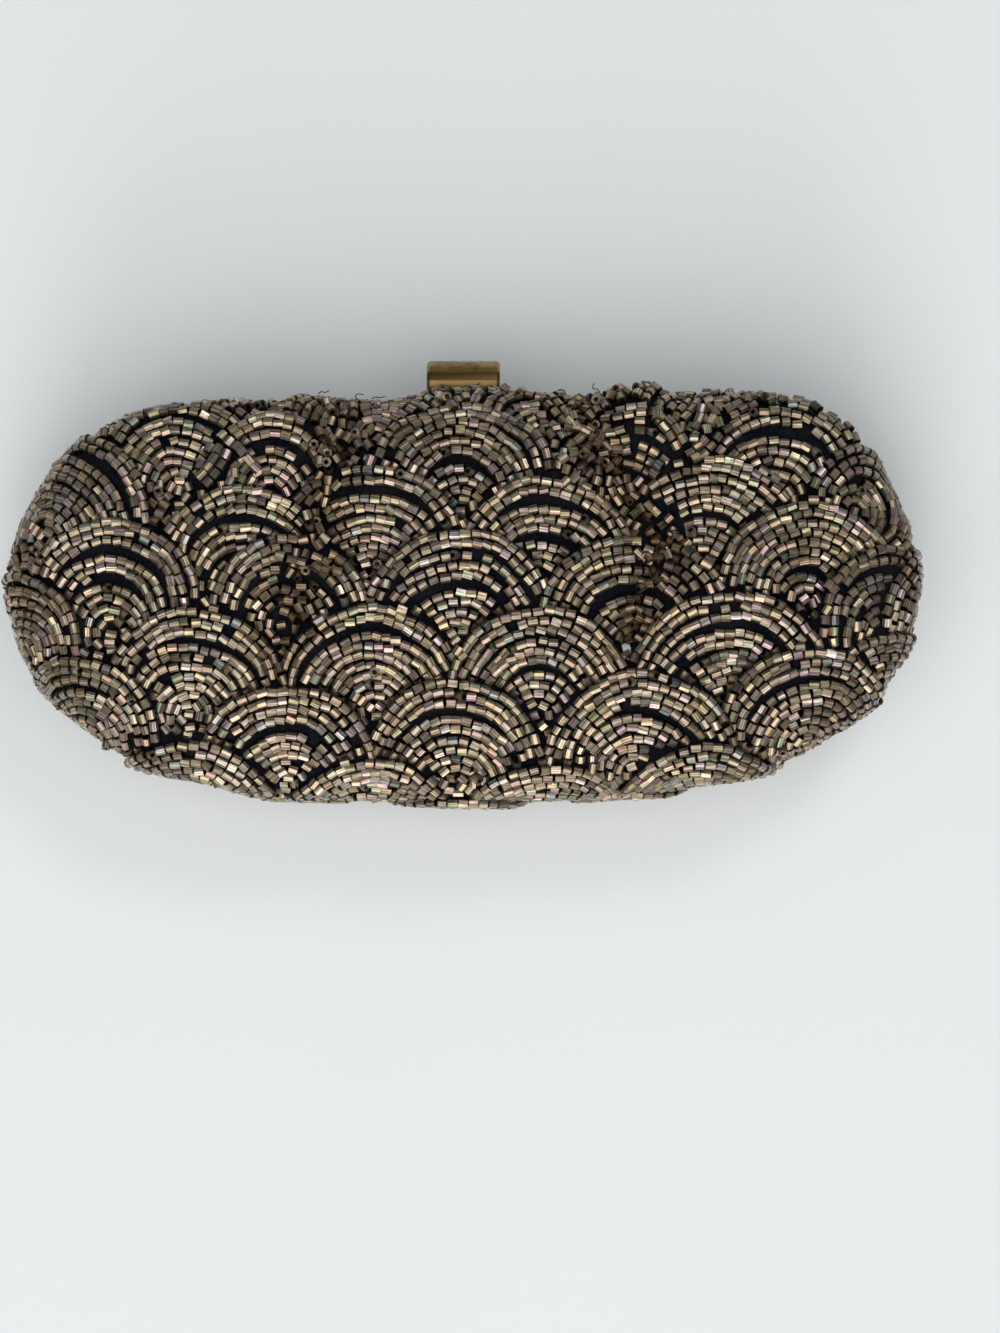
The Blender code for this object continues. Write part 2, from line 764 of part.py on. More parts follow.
def eased_lift(lift, spoke, spread, level, half):
    """The relief's height once it is drawn in at the sides, the edges, the clasp and the flat."""
    lift -= SIDE_SINK * ease_between(*SIDE_SHARES, spread)
    if spoke.direction.y > 0:
        beside = ease_between(CLASP_ROOM, CLASP_ROOM + CLASP_ROOM_FADE, abs(spoke.foot.x))
        above = 1 - ease_between(*CLASP_ROOM_SHARES, spread)
        lift = min(lift, lift * max(beside, above))
    if half == REAR:
        lift *= ease_between(CROWN_SHARE, FLAT_SHARE, level)
    return max(lift, LEAST_BEAD_WALL - BEAD_LAYER) * (1 - ease_between(EDGE_SHARE, 1, spread))


def bead_top(place, height, half):
    """The point of the beads' tops at a place on the fabric, raised by the relief's height."""
    spoke, run = spoke_through(place)
    profile = skin_profile(spoke, LAYER_SKINS["beadwork"][0], half)
    _, runs = fabric_runs(spoke, half)
    run = min(run, runs[-1])
    index = next(number for number in range(1, len(runs)) if runs[number] >= run)
    before, after = profile[index - 1], profile[index]
    even = before.lerp(after, (run - runs[index - 1]) / (runs[index] - runs[index - 1]))
    level = even.x / (spoke.reach + BULGE)
    lift = eased_lift(height, spoke, run / runs[-1], level, half)
    if half == REAR:
        lift = min(lift, HALF_DEPTH - even.y)
    slope = (after - before).normalized()
    plan = spoke.foot + spoke.direction * (even.x - lift * slope.y)
    return on_half(plan, even.y + lift * slope.x, half)


def ring_places(level, half, spokes):
    """The place on the fabric at one level of each spoke."""
    places = []
    for spoke in spokes:
        _, runs = fabric_runs(spoke, half)
        places.append(spoke.foot + spoke.direction * runs[PROFILE_SHARES.index(level)])
    return places


def round_places(centre, radius, steps):
    """Places evenly spaced on a circle."""
    turns = [2 * math.pi * step / steps for step in range(steps)]
    return [centre + Vector((math.cos(turn), math.sin(turn))) * radius for turn in turns]


def rim_places(fans):
    """Places along both sides of every step from the rim of one fan down to the next."""
    places = []
    for number, fan in enumerate(fans):
        crests = round_places(fan.centre, fan.radius - RIM_STEP, RIM_ARC_STEPS)
        tucks = round_places(fan.centre, fan.radius + RIM_STEP, RIM_ARC_STEPS)
        for crest, tuck in zip(crests, tucks):
            if owner_of(crest, fans) == number and owner_of(tuck, fans) < number:
                places += [crest, tuck]
    return places


def heart_places(fans):
    """Places inside every fan, where no other lies over it."""
    places = []
    for number, fan in enumerate(fans):
        for share, count in HEART_SHARES:
            ring = round_places(fan.centre, fan.radius * share, count)
            places += [place for place in ring if owner_of(place, fans) == number]
    return places


def fold_places(folds):
    """Places along the bottom of every fold."""
    places = []
    for line in folds:
        for start, end in zip(line, line[1:]):
            places += [start.lerp(end, part / FOLD_PARTS) for part in range(FOLD_PARTS)]
    return places


def well_spaced(places):
    """Those places that keep their distance from all the ones before them."""
    cells = {}
    kept = []
    for place in places:
        column, row = (round(size / LEAST_SPACING) for size in place)
        around = [(column + x, row + y) for x in (-1, 0, 1) for y in (-1, 0, 1)]
        near = [other for cell in around for other in cells.get(cell, [])]
        if all((place - other).length >= LEAST_SPACING for other in near):
            cells.setdefault((column, row), []).append(place)
            kept.append(place)
    return kept


def loop_edges(first, count):
    """Edges that join a loop of vertices, which are numbered from the first on."""
    return [(first + index, first + (index + 1) % count) for index in range(count)]


def bead_shape(half):
    """The beadwork of one half as one layer, with the relief of its fans on the outside."""
    fans = make_fans(half)
    front = half == FRONT
    folds = [[from_pixel(*pixel) for pixel in line] for line in FOLD_PIXELS] if front else []
    swellings = [(from_pixel(x, y), radius * PIXEL, share) for x, y, radius, share in SWELLING_PIXELS]

    crown = [] if front else ring_places(CROWN_SHARE, half, SPOKES)
    fixed = crown + [place for level in RING_SHARES for place in ring_places(level, half, BEAD_SPOKES)]
    inner = [
        place for place in rim_places(fans) + fold_places(folds) + heart_places(fans)
        if fabric_share(place, half) < INNER_SHARE and (front or not in_crown(place))
    ]
    places = well_spaced(fixed + inner)
    edges = loop_edges(0, len(crown)) + loop_edges(len(crown), len(BEAD_SPOKES))
    _, _, faces, sources, _, _ = delaunay_2d_cdt(places, edges, [], INSIDE_EDGES, MERGE_DISTANCE)

    bm = bmesh.new()
    tops = []
    for place in places:
        height = fan_relief(place, fans) + wave_relief(place)
        if front:
            height += photo_relief(place, folds, swellings)
        tops.append(bm.verts.new(bead_top(place, height, half)))
    for face in faces:
        corners = [sources[index][0] for index in face]
        if max(corners) >= len(crown):
            bm.faces.new([tops[index] for index in corners])
    if crown:
        bm.faces.new(tops[:len(crown)])

    inside = [add_ring(bm, ring) for ring in skin_rings(LAYER_SKINS["beadwork"][1], half)]
    bm.faces.new(inside[-1])
    for lower, upper in zip(inside, inside[1:]):
        add_strip(bm, lower, upper)
    edge = tops[len(crown):len(crown) + len(BEAD_SPOKES)]
    add_strip(bm, edge, [vertex for vertex in inside[0] for _ in range(SPOKE_PARTS)])
    return bm


def add_layers(prefix, half, materials, axis):
    """The shell of one half with everything that lies over and under it."""
    for name, (outer, inner) in LAYER_SKINS.items():
        if name == "beadwork":
            bm = bead_shape(half)
        else:
            bm = layer_shape(skin_rings(outer, half), skin_rings(inner, half))
        add_piece(f"{prefix}_{name}", bm, materials[LAYER_FINISHES[name]], axis)


def add_frame(prefix, half, clasp_rivets, materials, axis):
    """The channel frame of one half, drilled for its hinge leaf and clasp plate."""
    frame = add_piece(f"{prefix}_frame", frame_shape(half), materials["antique_brass"], axis)
    holes = rivet_holes(hinge_rivet_places(), -1, half)
    shape_with(frame, "DIFFERENCE", f"{prefix}_frame_hinge_holes", holes)
    holes = rivet_holes(clasp_rivets, 1, half)
    shape_with(frame, "DIFFERENCE", f"{prefix}_frame_clasp_holes", holes)


# Pocket in the rear lining

def pocket_places():
    """Places along the spine where the pocket panel follows the lining."""
    inner = [place for place in straight_places() if abs(place) < POCKET_HALF_WIDTH - FIT_GAP]
    return [-POCKET_HALF_WIDTH, *inner, POCKET_HALF_WIDTH]


def pocket_section(place, inset):
    """The pocket's section at one place, from its bottom seam up to its mouth."""
    below = make_spoke(place, -math.pi / 2)
    above = make_spoke(place, math.pi / 2)
    section = [dome_point(below, inset, share, REAR) for share in (*DOME_SHARES, CROWN_SHARE)]
    section.append(dome_point(above, inset, CROWN_SHARE, REAR))
    return section


def add_pocket(materials, axis):
    """A slip pocket of satin with a bound mouth, on the rear lining."""
    inset = LAYER_SKINS["lining"][1].inset + FIT_GAP
    bm = bmesh.new()
    rings = []
    for place in pocket_places():
        back = pocket_section(place, inset)
        face = pocket_section(place, inset + POCKET_WALL)
        rings.append(add_ring(bm, back + face[::-1]))
    for first, second in zip(rings, rings[1:]):
        add_strip(bm, first, second)
    for ring in (rings[0], rings[-1]):
        rows = len(ring) // 2
        for row in range(rows - 1):
            bm.faces.new((ring[row], ring[row + 1], ring[-row - 2], ring[-row - 1]))
    add_piece("pocket_panel", bm, materials["black_satin"], axis)

    seat = inset + POCKET_WALL + FIT_GAP
    mouth = pocket_section(POCKET_HALF_WIDTH, seat + BINDING_WALL)[-1]
    foot = pocket_section(POCKET_HALF_WIDTH, seat)[-1]
    low = Vector((-POCKET_HALF_WIDTH, mouth.y - BINDING_WIDTH, foot.z))
    bm = box_shape(low, mouth, BINDING_WALL / 4)
    add_piece("pocket_binding", bm, materials["black_satin"], axis)


# Hinge

def hinge_rivet_places():
    """Places of the rivets along each hinge leaf."""
    return [-HINGE_RIVET_PLACE, 0.0, HINGE_RIVET_PLACE]


def knuckle_spans(first, margin=0.0):
    """Spans of X of every second knuckle, each grown by a margin."""
    spans = []
    for index in range(first, HINGE_KNUCKLES, 2):
        near = -HINGE_LENGTH / 2 + index * (KNUCKLE_LENGTH + KNUCKLE_GAP)
        spans.append((near - margin, near + KNUCKLE_LENGTH + margin))
    return spans


def add_hinge_leaf(name, half, first, materials, axis):
    """A leaf with its own knuckles, cut away round the other leaf's knuckles."""
    bm = plate_shape(HINGE_LENGTH / 2 - LEAF_END, -1, half)
    leaf = add_piece(name, bm, materials["antique_brass"], axis)
    room = cross_rods(
        HINGE_AXIS,
        knuckle_spans(1 - first, KNUCKLE_GAP / 2),
        BARREL_RADIUS + FIT_GAP,
    )
    shape_with(leaf, "DIFFERENCE", f"{name}_room", room)
    knuckles = cross_rods(HINGE_AXIS, knuckle_spans(first), BARREL_RADIUS)
    shape_with(leaf, "UNION", f"{name}_knuckles", knuckles)
    reach = HINGE_LENGTH / 2 + DRILL_OVERRUN
    bore = cross_rods(HINGE_AXIS, [(-reach, reach)], HINGE_PIN_RADIUS + FIT_GAP)
    shape_with(leaf, "DIFFERENCE", f"{name}_bore", bore)
    holes = rivet_holes(hinge_rivet_places(), -1, half)
    shape_with(leaf, "DIFFERENCE", f"{name}_holes", holes)


# Clasp

def about_bar(radius, angle):
    """A point (Y, Z) about the lever's centre, 0 to the front and 90 degrees outward."""
    y = BAR_CENTRE.y + radius * math.sin(angle)
    z = BAR_CENTRE.z + radius * math.cos(angle)
    return y, z


def add_clasp_bar(materials, axis):
    """The hollow lever, open underneath between its lip and its back edge."""
    bm = cross_rods(BAR_CENTRE, [(-BAR_HALF_LENGTH, BAR_HALF_LENGTH)], BAR_RADIUS, BAR_SIDES)
    ends = [edge for edge in bm.edges if abs(edge.verts[0].co.x - edge.verts[1].co.x) < BAR_WALL]
    bmesh.ops.bevel(
        bm,
        geom=ends,
        offset=BAR_EDGE,
        segments=BAR_EDGE_STEPS,
        profile=0.5,
        affect="EDGES",
    )
    bar = add_piece("clasp_bar", bm, materials["antique_brass"], axis)

    outline = []
    for step in range(MOUTH_STEPS + 1):
        angle = LIP_ANGLE + (BACK_ANGLE - LIP_ANGLE) * step / MOUTH_STEPS
        outline.append(about_bar(BAR_INNER_RADIUS, angle))
    beyond = 2 * BAR_RADIUS
    below = (BACK_ANGLE + LIP_ANGLE) / 2 + math.pi
    outline.append(about_bar(beyond, BACK_ANGLE))
    outline.append(about_bar(beyond, below))
    outline.append(about_bar(beyond, LIP_ANGLE))
    inner_half = BAR_HALF_LENGTH - BAR_WALL
    mouth = outline_shape(outline, -inner_half, inner_half)
    shape_with(bar, "DIFFERENCE", "clasp_bar_mouth", mouth)
    reach = BAR_HALF_LENGTH + DRILL_OVERRUN
    bore = cross_rods(CLASP_AXIS, [(-reach, reach)], CLASP_PIN_RADIUS + FIT_GAP)
    shape_with(bar, "DIFFERENCE", "clasp_bar_bore", bore)


def ear_outline():
    """One ear of the bracket: a stem that ends in a round eye about the pin."""
    foot = RIM_TOP + PLATE_MIDDLE
    meet = math.asin(EAR_STEM_HALF / EAR_RADIUS)
    outline = [(foot, CLASP_AXIS.z - EAR_STEM_HALF), (foot, CLASP_AXIS.z + EAR_STEM_HALF)]
    start = -math.pi / 2 + meet
    sweep = 2 * (math.pi - meet)
    for step in range(EAR_STEPS + 1):
        angle = start + sweep * step / EAR_STEPS
        y = CLASP_AXIS.y + EAR_RADIUS * math.sin(angle)
        z = CLASP_AXIS.z + EAR_RADIUS * math.cos(angle)
        outline.append((y, z))
    return outline


def add_clasp_bracket(materials, axis):
    """The bracket on the rear frame, with the two ears that hold the lever's pin."""
    bm = plate_shape(CLASP_PLATE_HALF_WIDTH, 1, REAR)
    bracket = add_piece("clasp_bracket", bm, materials["antique_brass"], axis)
    for name, near in (("left", -EAR_PLACE - EAR_WALL), ("right", EAR_PLACE)):
        ear = outline_shape(ear_outline(), near, near + EAR_WALL)
        shape_with(bracket, "UNION", f"clasp_bracket_{name}_ear", ear)
    reach = EAR_PLACE + EAR_WALL + DRILL_OVERRUN
    bore = cross_rods(CLASP_AXIS, [(-reach, reach)], CLASP_PIN_RADIUS + FIT_GAP)
    shape_with(bracket, "DIFFERENCE", "clasp_bracket_bore", bore)
    holes = rivet_holes(bracket_rivet_places(), 1, REAR)
    shape_with(bracket, "DIFFERENCE", "clasp_bracket_holes", holes)


def bracket_rivet_places():
    """Places of the rivets that hold the bracket."""
    return [-BRACKET_RIVET_PLACE, BRACKET_RIVET_PLACE]


def strike_rivet_places():
    """Places of the rivets that hold the strike plate."""
    return [-STRIKE_RIVET_PLACE, STRIKE_RIVET_PLACE]


def spring_points():
    """The spring's wire: a leg on the bracket, its turns and a leg under the lever."""
    back = CLASP_AXIS.z - SPRING_RADIUS
    foot = RIM_TOP + PLATE_OUTER + FIT_GAP
    points = [Vector((SPRING_HALF_LENGTH, foot, back))]
    steps = SPRING_TURNS * SPRING_TURN_STEPS
    for step in range(steps + 1):
        angle = math.pi - 2 * math.pi * step / SPRING_TURN_STEPS
        place = SPRING_HALF_LENGTH * (1 - 2 * step / steps)
        y = CLASP_AXIS.y + SPRING_RADIUS * math.sin(angle)
        z = CLASP_AXIS.z + SPRING_RADIUS * math.cos(angle)
        points.append(Vector((place, y, z)))
    roof = math.sqrt(BAR_INNER_RADIUS ** 2 - (BAR_CENTRE.z - back) ** 2)
    points.append(Vector((-SPRING_HALF_LENGTH, BAR_CENTRE.y + roof - 2 * FIT_GAP, back)))
    return points


def least_turn_gap(points):
    """The least free space between points of the wire that lie half a turn or more apart."""
    least = math.inf
    apart = SPRING_TURN_STEPS // 2
    for index, point in enumerate(points):
        for other in points[index + apart:]:
            least = min(least, (point - other).length - 2 * SPRING_WIRE)
    return least


def add_clasp_spring(materials, axis):
    """The torsion spring that keeps the lever shut."""
    points = spring_points()
    print(f"clasp_spring: least gap between turns {least_turn_gap(points) * 1000:.2f} mm")
    curve = bpy.data.curves.new("clasp_spring", "CURVE")
    curve.dimensions = "3D"
    curve.bevel_depth = SPRING_WIRE
    curve.bevel_resolution = 1
    curve.use_fill_caps = True
    spline = curve.splines.new("POLY")
    spline.points.add(len(points) - 1)
    for target, point in zip(spline.points, points):
        target.co = (*(point - axis.location), 1)
    curve.materials.append(materials["spring_steel"])
    spring = bpy.data.objects.new("clasp_spring", curve)
    spring.parent = axis
    bpy.context.collection.objects.link(spring)


def add_strike_plate(materials, axis):
    """The plate on the front frame, with the lug that the lever's lip closes over."""
    bm = plate_shape(CLASP_PLATE_HALF_WIDTH, 1, FRONT)
    strike = add_piece("strike_plate", bm, materials["antique_brass"], axis)
    lip_y, lip_z = about_bar(BAR_RADIUS, LIP_ANGLE)
    foot = RIM_TOP + PLATE_MIDDLE
    top = lip_y - CATCH_GAP
    near = PARTING_HEIGHT + LUG_NEAR
    far = near + LUG_WALL
    nose = lip_z - CATCH_GAP
    outline = [
        (foot, near),
        (foot, far),
        (top - 2 * LUG_NOSE, far),
        (top - LUG_NOSE, nose),
        (top - LUG_CHAMFER, nose),
        (top, nose - LUG_CHAMFER),
        (top, near),
    ]
    lug = outline_shape(outline, -LUG_HALF_WIDTH, LUG_HALF_WIDTH)
    shape_with(strike, "UNION", "strike_plate_lug", lug)
    holes = rivet_holes(strike_rivet_places(), 1, FRONT)
    shape_with(strike, "DIFFERENCE", "strike_plate_holes", holes)


def build():
    """Build the clutch, body by body."""
    clear_scene()
    materials = make_materials()
    rear_case = add_axis("rear_case", Vector((0, 0, 0)))
    front_case = add_axis("front_case", HINGE_AXIS)
    clasp = add_axis("clasp", CLASP_AXIS)
    rivet = rivet_mesh()
    rivet.materials.append(materials["antique_brass"])

    add_frame("rear", REAR, bracket_rivet_places(), materials, rear_case)
    add_layers("rear", REAR, materials, rear_case)
    add_pocket(materials, rear_case)
    add_hinge_leaf("hinge_leaf_rear", REAR, 0, materials, rear_case)
    pin = pin_shape(HINGE_AXIS, HINGE_LENGTH / 2 + HINGE_PIN_END, HINGE_PIN_RADIUS, SEAT_GAP)
    add_piece("hinge_pin", pin, materials["spring_steel"], rear_case)
    add_rivets("hinge_rivet_rear", rivet, hinge_rivet_places(), -1, REAR, rear_case)
    add_clasp_bracket(materials, rear_case)
    pin = pin_shape(CLASP_AXIS, BAR_HALF_LENGTH - SEAT_GAP, CLASP_PIN_RADIUS, SEAT_GAP / 2)
    add_piece("clasp_pin", pin, materials["spring_steel"], rear_case)
    add_clasp_spring(materials, rear_case)
    add_rivets("clasp_rivet", rivet, bracket_rivet_places(), 1, REAR, rear_case)

    add_frame("front", FRONT, strike_rivet_places(), materials, front_case)
    add_layers("front", FRONT, materials, front_case)
    add_hinge_leaf("hinge_leaf_front", FRONT, 1, materials, front_case)
    add_rivets("hinge_rivet_front", rivet, hinge_rivet_places(), -1, FRONT, front_case)
    add_strike_plate(materials, front_case)
    add_rivets("strike_rivet", rivet, strike_rivet_places(), 1, FRONT, front_case)

    add_clasp_bar(materials, clasp)


build()
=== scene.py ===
"""Looks of the beaded evening clutch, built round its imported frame.

The clutch lies on its rear half. Its beads are laid in fans on dark cloth, and the
fans of the front follow the places they have in the photograph. A place on a fan is
given on the fabric, as if the cloth of one half were spread flat from its middle,
and a SkinMap carries it onto the domed half. Lengths are in metres.
"""

import logging
import math
from collections.abc import Callable, Sequence
from dataclasses import dataclass, field
from enum import Enum

import bpy
import numpy as np
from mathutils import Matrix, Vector

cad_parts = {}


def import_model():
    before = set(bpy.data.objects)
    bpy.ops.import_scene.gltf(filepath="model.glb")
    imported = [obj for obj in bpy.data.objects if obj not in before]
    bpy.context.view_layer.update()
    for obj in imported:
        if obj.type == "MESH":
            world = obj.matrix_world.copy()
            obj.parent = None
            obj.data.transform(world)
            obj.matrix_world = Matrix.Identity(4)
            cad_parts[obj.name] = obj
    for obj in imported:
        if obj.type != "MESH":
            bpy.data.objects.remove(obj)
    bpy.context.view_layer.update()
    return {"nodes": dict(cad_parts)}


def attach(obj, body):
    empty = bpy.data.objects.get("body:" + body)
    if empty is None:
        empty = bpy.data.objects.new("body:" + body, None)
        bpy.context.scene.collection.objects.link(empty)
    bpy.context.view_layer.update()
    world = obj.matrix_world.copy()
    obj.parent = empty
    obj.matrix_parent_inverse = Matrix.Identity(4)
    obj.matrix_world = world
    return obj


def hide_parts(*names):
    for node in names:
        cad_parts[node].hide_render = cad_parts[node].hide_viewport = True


LOG = logging.getLogger("clutch")
Array = np.ndarray
Piece = bpy.types.Object
Material = bpy.types.Material
Tree = bpy.types.NodeTree
Node = bpy.types.Node
Socket = bpy.types.NodeSocket
Span = tuple[float, float]
Colour = tuple[float, float, float]

PIXELS_PER_METRE = 4333.0
PHOTO_CENTRE = (463.0, 600.0)
PHOTO_SIZE = (1000.0, 1333.0)


class Half(Enum):
    """A half of the clutch. The value is its side of the parting plane."""

    FRONT = 1
    REAR = -1

    @property
    def prefix(self) -> str:
        """The first word of this half's pieces."""
        return self.name.lower()

    @property
    def body(self) -> str:
        """The body that this half's pieces ride on."""
        return f"{self.prefix}_case"


# Form of the halves, as the frame has it


@dataclass(frozen=True)
class Skin:
    """A domed skin: its depth under the bead tops, and its offset and height at the rim."""

    inset: float
    rim: float
    edge_height: float


@dataclass(frozen=True)
class ClutchForm:
    """Sizes of the two halves, and the skins that the layers lie between."""

    rim_half_width: float = 0.1005
    rim_top: float = 0.0420
    rim_bottom: float = 0.0425
    spine_half: float = 0.0550
    half_depth: float = 0.0260
    widest_height: float = 0.0110
    bulge: float = 0.0045
    top_power: float = 6.0
    bottom_power: float = 3.0
    dome_power: float = 2.5
    crown_share: float = 0.35
    blend_start: float = 0.0054
    bead_line: Skin = Skin(0.0010, 0.0023, 0.0046)
    padding_inner: Skin = Skin(0.0072, -0.0008, 0.0054)
    lining: Skin = Skin(0.0096, -0.0043, 0.0006)
    pocket: Skin = Skin(0.0110, -0.0055, 0.0006)
    halvings: int = 48

    def reach(self, foot: Array, direction: Array) -> Array:
        """Distance from places on the spine to the rim.

        Args:
            foot: Places on the spine, one row each.
            direction: The way to go from each.

        Returns:
            The distances.
        """
        near = np.zeros(len(foot))
        far = np.full(len(foot), 2 * self.rim_half_width)
        for _ in range(self.halvings):
            middle = (near + far) / 2
            place = foot + direction * middle[:, None]
            upper = place[:, 1] >= 0
            power = np.where(upper, self.top_power, self.bottom_power)
            height = np.where(upper, self.rim_top, self.rim_bottom)
            share = np.abs(place[:, 0] / self.rim_half_width) ** power
            inside = share + (place[:, 1] / height) ** 2 < 1
            near = np.where(inside, middle, near)
            far = np.where(inside, far, middle)
        return near

    def dome(self, share: Array, flat_crown: bool) -> Array:
        """Height of the dome at shares of its reach, 1 at the crown's edge."""
        if flat_crown:
            share = np.maximum(share, self.crown_share)
        crown = 1 - self.crown_share**self.dome_power
        return ((1 - share**self.dome_power) / crown) ** (1 / self.dome_power)


FORM = ClutchForm()


def ease(low: float, high: float, value: Array) -> Array:
    """Smooth step from 0 at low to 1 at high."""
    share = np.clip((value - low) / (high - low), 0, 1)
    return share * share * (3 - 2 * share)


def ahead(angle: Array) -> Array:
    """Unit steps at angles, one row each."""
    return np.stack([np.cos(angle), np.sin(angle)], 1)


def aside(angle: Array) -> Array:
    """Unit steps a quarter turn to the left of angles, one row each."""
    return np.stack([-np.sin(angle), np.cos(angle)], 1)


def stations(steps: Sequence[int]) -> Array:
    """Stations round the spine, with so many steps on each of its four sides."""
    return np.concatenate([np.arange(n) / n + side for side, n in enumerate(steps)])


class SkinMap:
    """Carries places on the spread-out fabric of one half onto a domed skin."""

    straight_steps = 120
    end_steps = 160
    profile_steps = 220
    dome_steps = 160
    dome_crowding = 0.8
    side_steps = 24
    edge_steps = 3

    def __init__(self, half: Half, skin: Skin, flat_crown: bool) -> None:
        """Tabulate the skin's profiles along spokes all round the spine.

        Args:
            half: The half that the skin belongs to.
            skin: Where the skin lies.
            flat_crown: Whether the crown is flat, as on the half that lies below.
        """
        self.half = half
        self.skin = skin
        steps = (self.straight_steps, self.end_steps) * 2
        self.starts = np.concatenate([[0], np.cumsum(steps)])
        self.steps = np.array(steps)
        foot, direction = self.spoke(stations(steps))
        reach = FORM.reach(foot, direction)
        share = np.sin(np.linspace(0, math.pi / 2, self.dome_steps)) ** self.dome_crowding
        rise = FORM.half_depth - FORM.widest_height - skin.inset
        out = [(reach[:, None] + FORM.bulge - skin.inset) * share]
        up = [FORM.widest_height + rise * FORM.dome(share, flat_crown)]
        fall = np.linspace(1, 0, self.side_steps)[1:]
        slack = FORM.bulge - skin.inset - skin.rim
        out.append(reach[:, None] + skin.rim + slack * ease(0, 1, fall))
        low = min(FORM.blend_start, FORM.widest_height)
        up.append(low + (FORM.widest_height - low) * fall)
        if skin.edge_height < low:
            out.append(np.tile(reach[:, None] + skin.rim, (1, self.edge_steps)))
            up.append(np.linspace(low, skin.edge_height, self.edge_steps + 1)[1:])
        out = np.hstack(out)
        up = np.tile(np.concatenate(up), (len(reach), 1))
        gone = np.cumsum(np.hypot(np.diff(out, axis=1), np.diff(up, axis=1)), axis=1)
        gone = np.hstack([np.zeros((len(reach), 1)), gone])
        self.length = gone[:, -1]
        even = np.linspace(0, 1, self.profile_steps)
        self.out, self.up = (
            np.array([np.interp(even * g[-1], g, row) for g, row in zip(gone, table)])
            for table in (out, up)
        )
        self.widest_index = np.argmax(self.out, axis=1)

    def spoke(self, station: Array) -> tuple[Array, Array]:
        """Foot and direction of the spokes at stations 0 to 4, anticlockwise from the lower left."""
        side = np.clip(station.astype(int), 0, 3)
        part = station - side
        spine = FORM.spine_half
        x = np.choose(side, [2 * spine * part - spine, spine, spine - 2 * spine * part, -spine])
        angle = np.choose(side, [0 * part - 0.5, part - 0.5, 0 * part + 0.5, part + 0.5]) * math.pi
        return np.stack([x, 0 * x], 1), ahead(angle)

    def station_of(self, fabric: Array) -> tuple[Array, Array]:
        """Station of each fabric place, and its distance from the spine."""
        x, y = fabric[:, 0], fabric[:, 1]
        spine = FORM.spine_half
        beside = np.abs(x) <= spine
        over = np.where(x > 0, x - spine, x + spine)
        distance = np.where(beside, np.abs(y), np.hypot(over, y))
        angle = np.arctan2(y, over)
        right = 1 + (angle + math.pi / 2) / math.pi
        left = 3 + (np.where(angle < 0, angle + 2 * math.pi, angle) - math.pi / 2) / math.pi
        lower = (x + spine) / (2 * spine)
        upper = 2 + (spine - x) / (2 * spine)
        straight = np.where(y < 0, lower, upper)
        return np.where(beside, straight, np.where(x > 0, right, left)), distance

    def columns(self, station: Array) -> tuple[Array, Array, Array]:
        """The tabled spokes before and after each station, and how far it is between them."""
        side = np.clip(station.astype(int), 0, 3)
        place = self.starts[side] + (station - side) * self.steps[side]
        first = place.astype(int) % len(self.length)
        return first, (first + 1) % len(self.length), place - place.astype(int)

    def length_at(self, station: Array) -> Array:
        """Length of the skin from the spine to its edge at each station."""
        first, after, part = self.columns(station)
        return self.length[first] * (1 - part) + self.length[after] * part

    def spread(self, fabric: Array) -> Array:
        """How far towards the skin's edge each fabric place is: 0 on the spine, 1 on the edge."""
        station, distance = self.station_of(fabric)
        return distance / self.length_at(station)

    def level(self, fabric: Array) -> tuple[Array, Array]:
        """Share of the dome's reach at each fabric place, and its height over the parting."""
        station, _ = self.station_of(fabric)
        first = self.columns(station)[0]
        row = (np.clip(self.spread(fabric), 0, 1) * (self.profile_steps - 1)).astype(int)
        widest = self.out[first, self.widest_index[first]]
        return self.out[first, row] / widest, self.up[first, row]

    def place(self, fabric: Array, lift: Array | float = 0.0) -> Array:
        """Points on the skin, or at a lift above it.

        Args:
            fabric: Fabric places, one row each.
            lift: How far above the skin each point is.

        Returns:
            The points, one row each.
        """
        station, distance = self.station_of(fabric)
        first, after, part = self.columns(station)
        row = np.clip(distance / self.length_at(station), 0, 1) * (self.profile_steps - 1)
        low = np.minimum(row.astype(int), self.profile_steps - 2)
        share = row - low

        def read(table: Array) -> tuple[Array, Array]:
            """Value and slope of a table at these places."""
            near = table[first, low] * (1 - part) + table[after, low] * part
            far = table[first, low + 1] * (1 - part) + table[after, low + 1] * part
            return near * (1 - share) + far * share, far - near

        out, out_slope = read(self.out)
        up, up_slope = read(self.up)
        size = np.hypot(out_slope, up_slope) + 1e-12
        foot, direction = self.spoke(station)
        out = out - lift * up_slope / size
        up = up + lift * out_slope / size
        plan = foot + direction * out[:, None]
        return np.column_stack([plan, FORM.half_depth + self.half.value * up])

    def fabric_of(self, plan: Array) -> Array:
        """Fabric places of points of the plan view that lie within the widest outline."""
        station, distance = self.station_of(plan)
        first = self.columns(station)[0]
        foot, direction = self.spoke(station)
        gone = []
        for column, away in zip(first, distance):
            last = self.widest_index[column]
            share = np.interp(away, self.out[column, : last + 1], np.arange(last + 1))
            gone.append(share / (self.profile_steps - 1) * self.length[column])
        return foot + direction * np.array(gone)[:, None]


def plan_of(pixels: Sequence[Sequence[float]]) -> Array:
    """Plan places, in metres, of pixels of the photograph."""
    across = np.array(pixels, float).reshape(-1, 2)
    x = (across[:, 0] - PHOTO_CENTRE[0]) / PIXELS_PER_METRE
    return np.stack([x, (PHOTO_CENTRE[1] - across[:, 1]) / PIXELS_PER_METRE], 1)


# Mesh helpers


def deselect() -> None:
    """Deselect every object, in object mode."""
    if bpy.context.object and bpy.context.object.mode != "OBJECT":
        bpy.ops.object.mode_set(mode="OBJECT")
    bpy.ops.object.select_all(action="DESELECT")


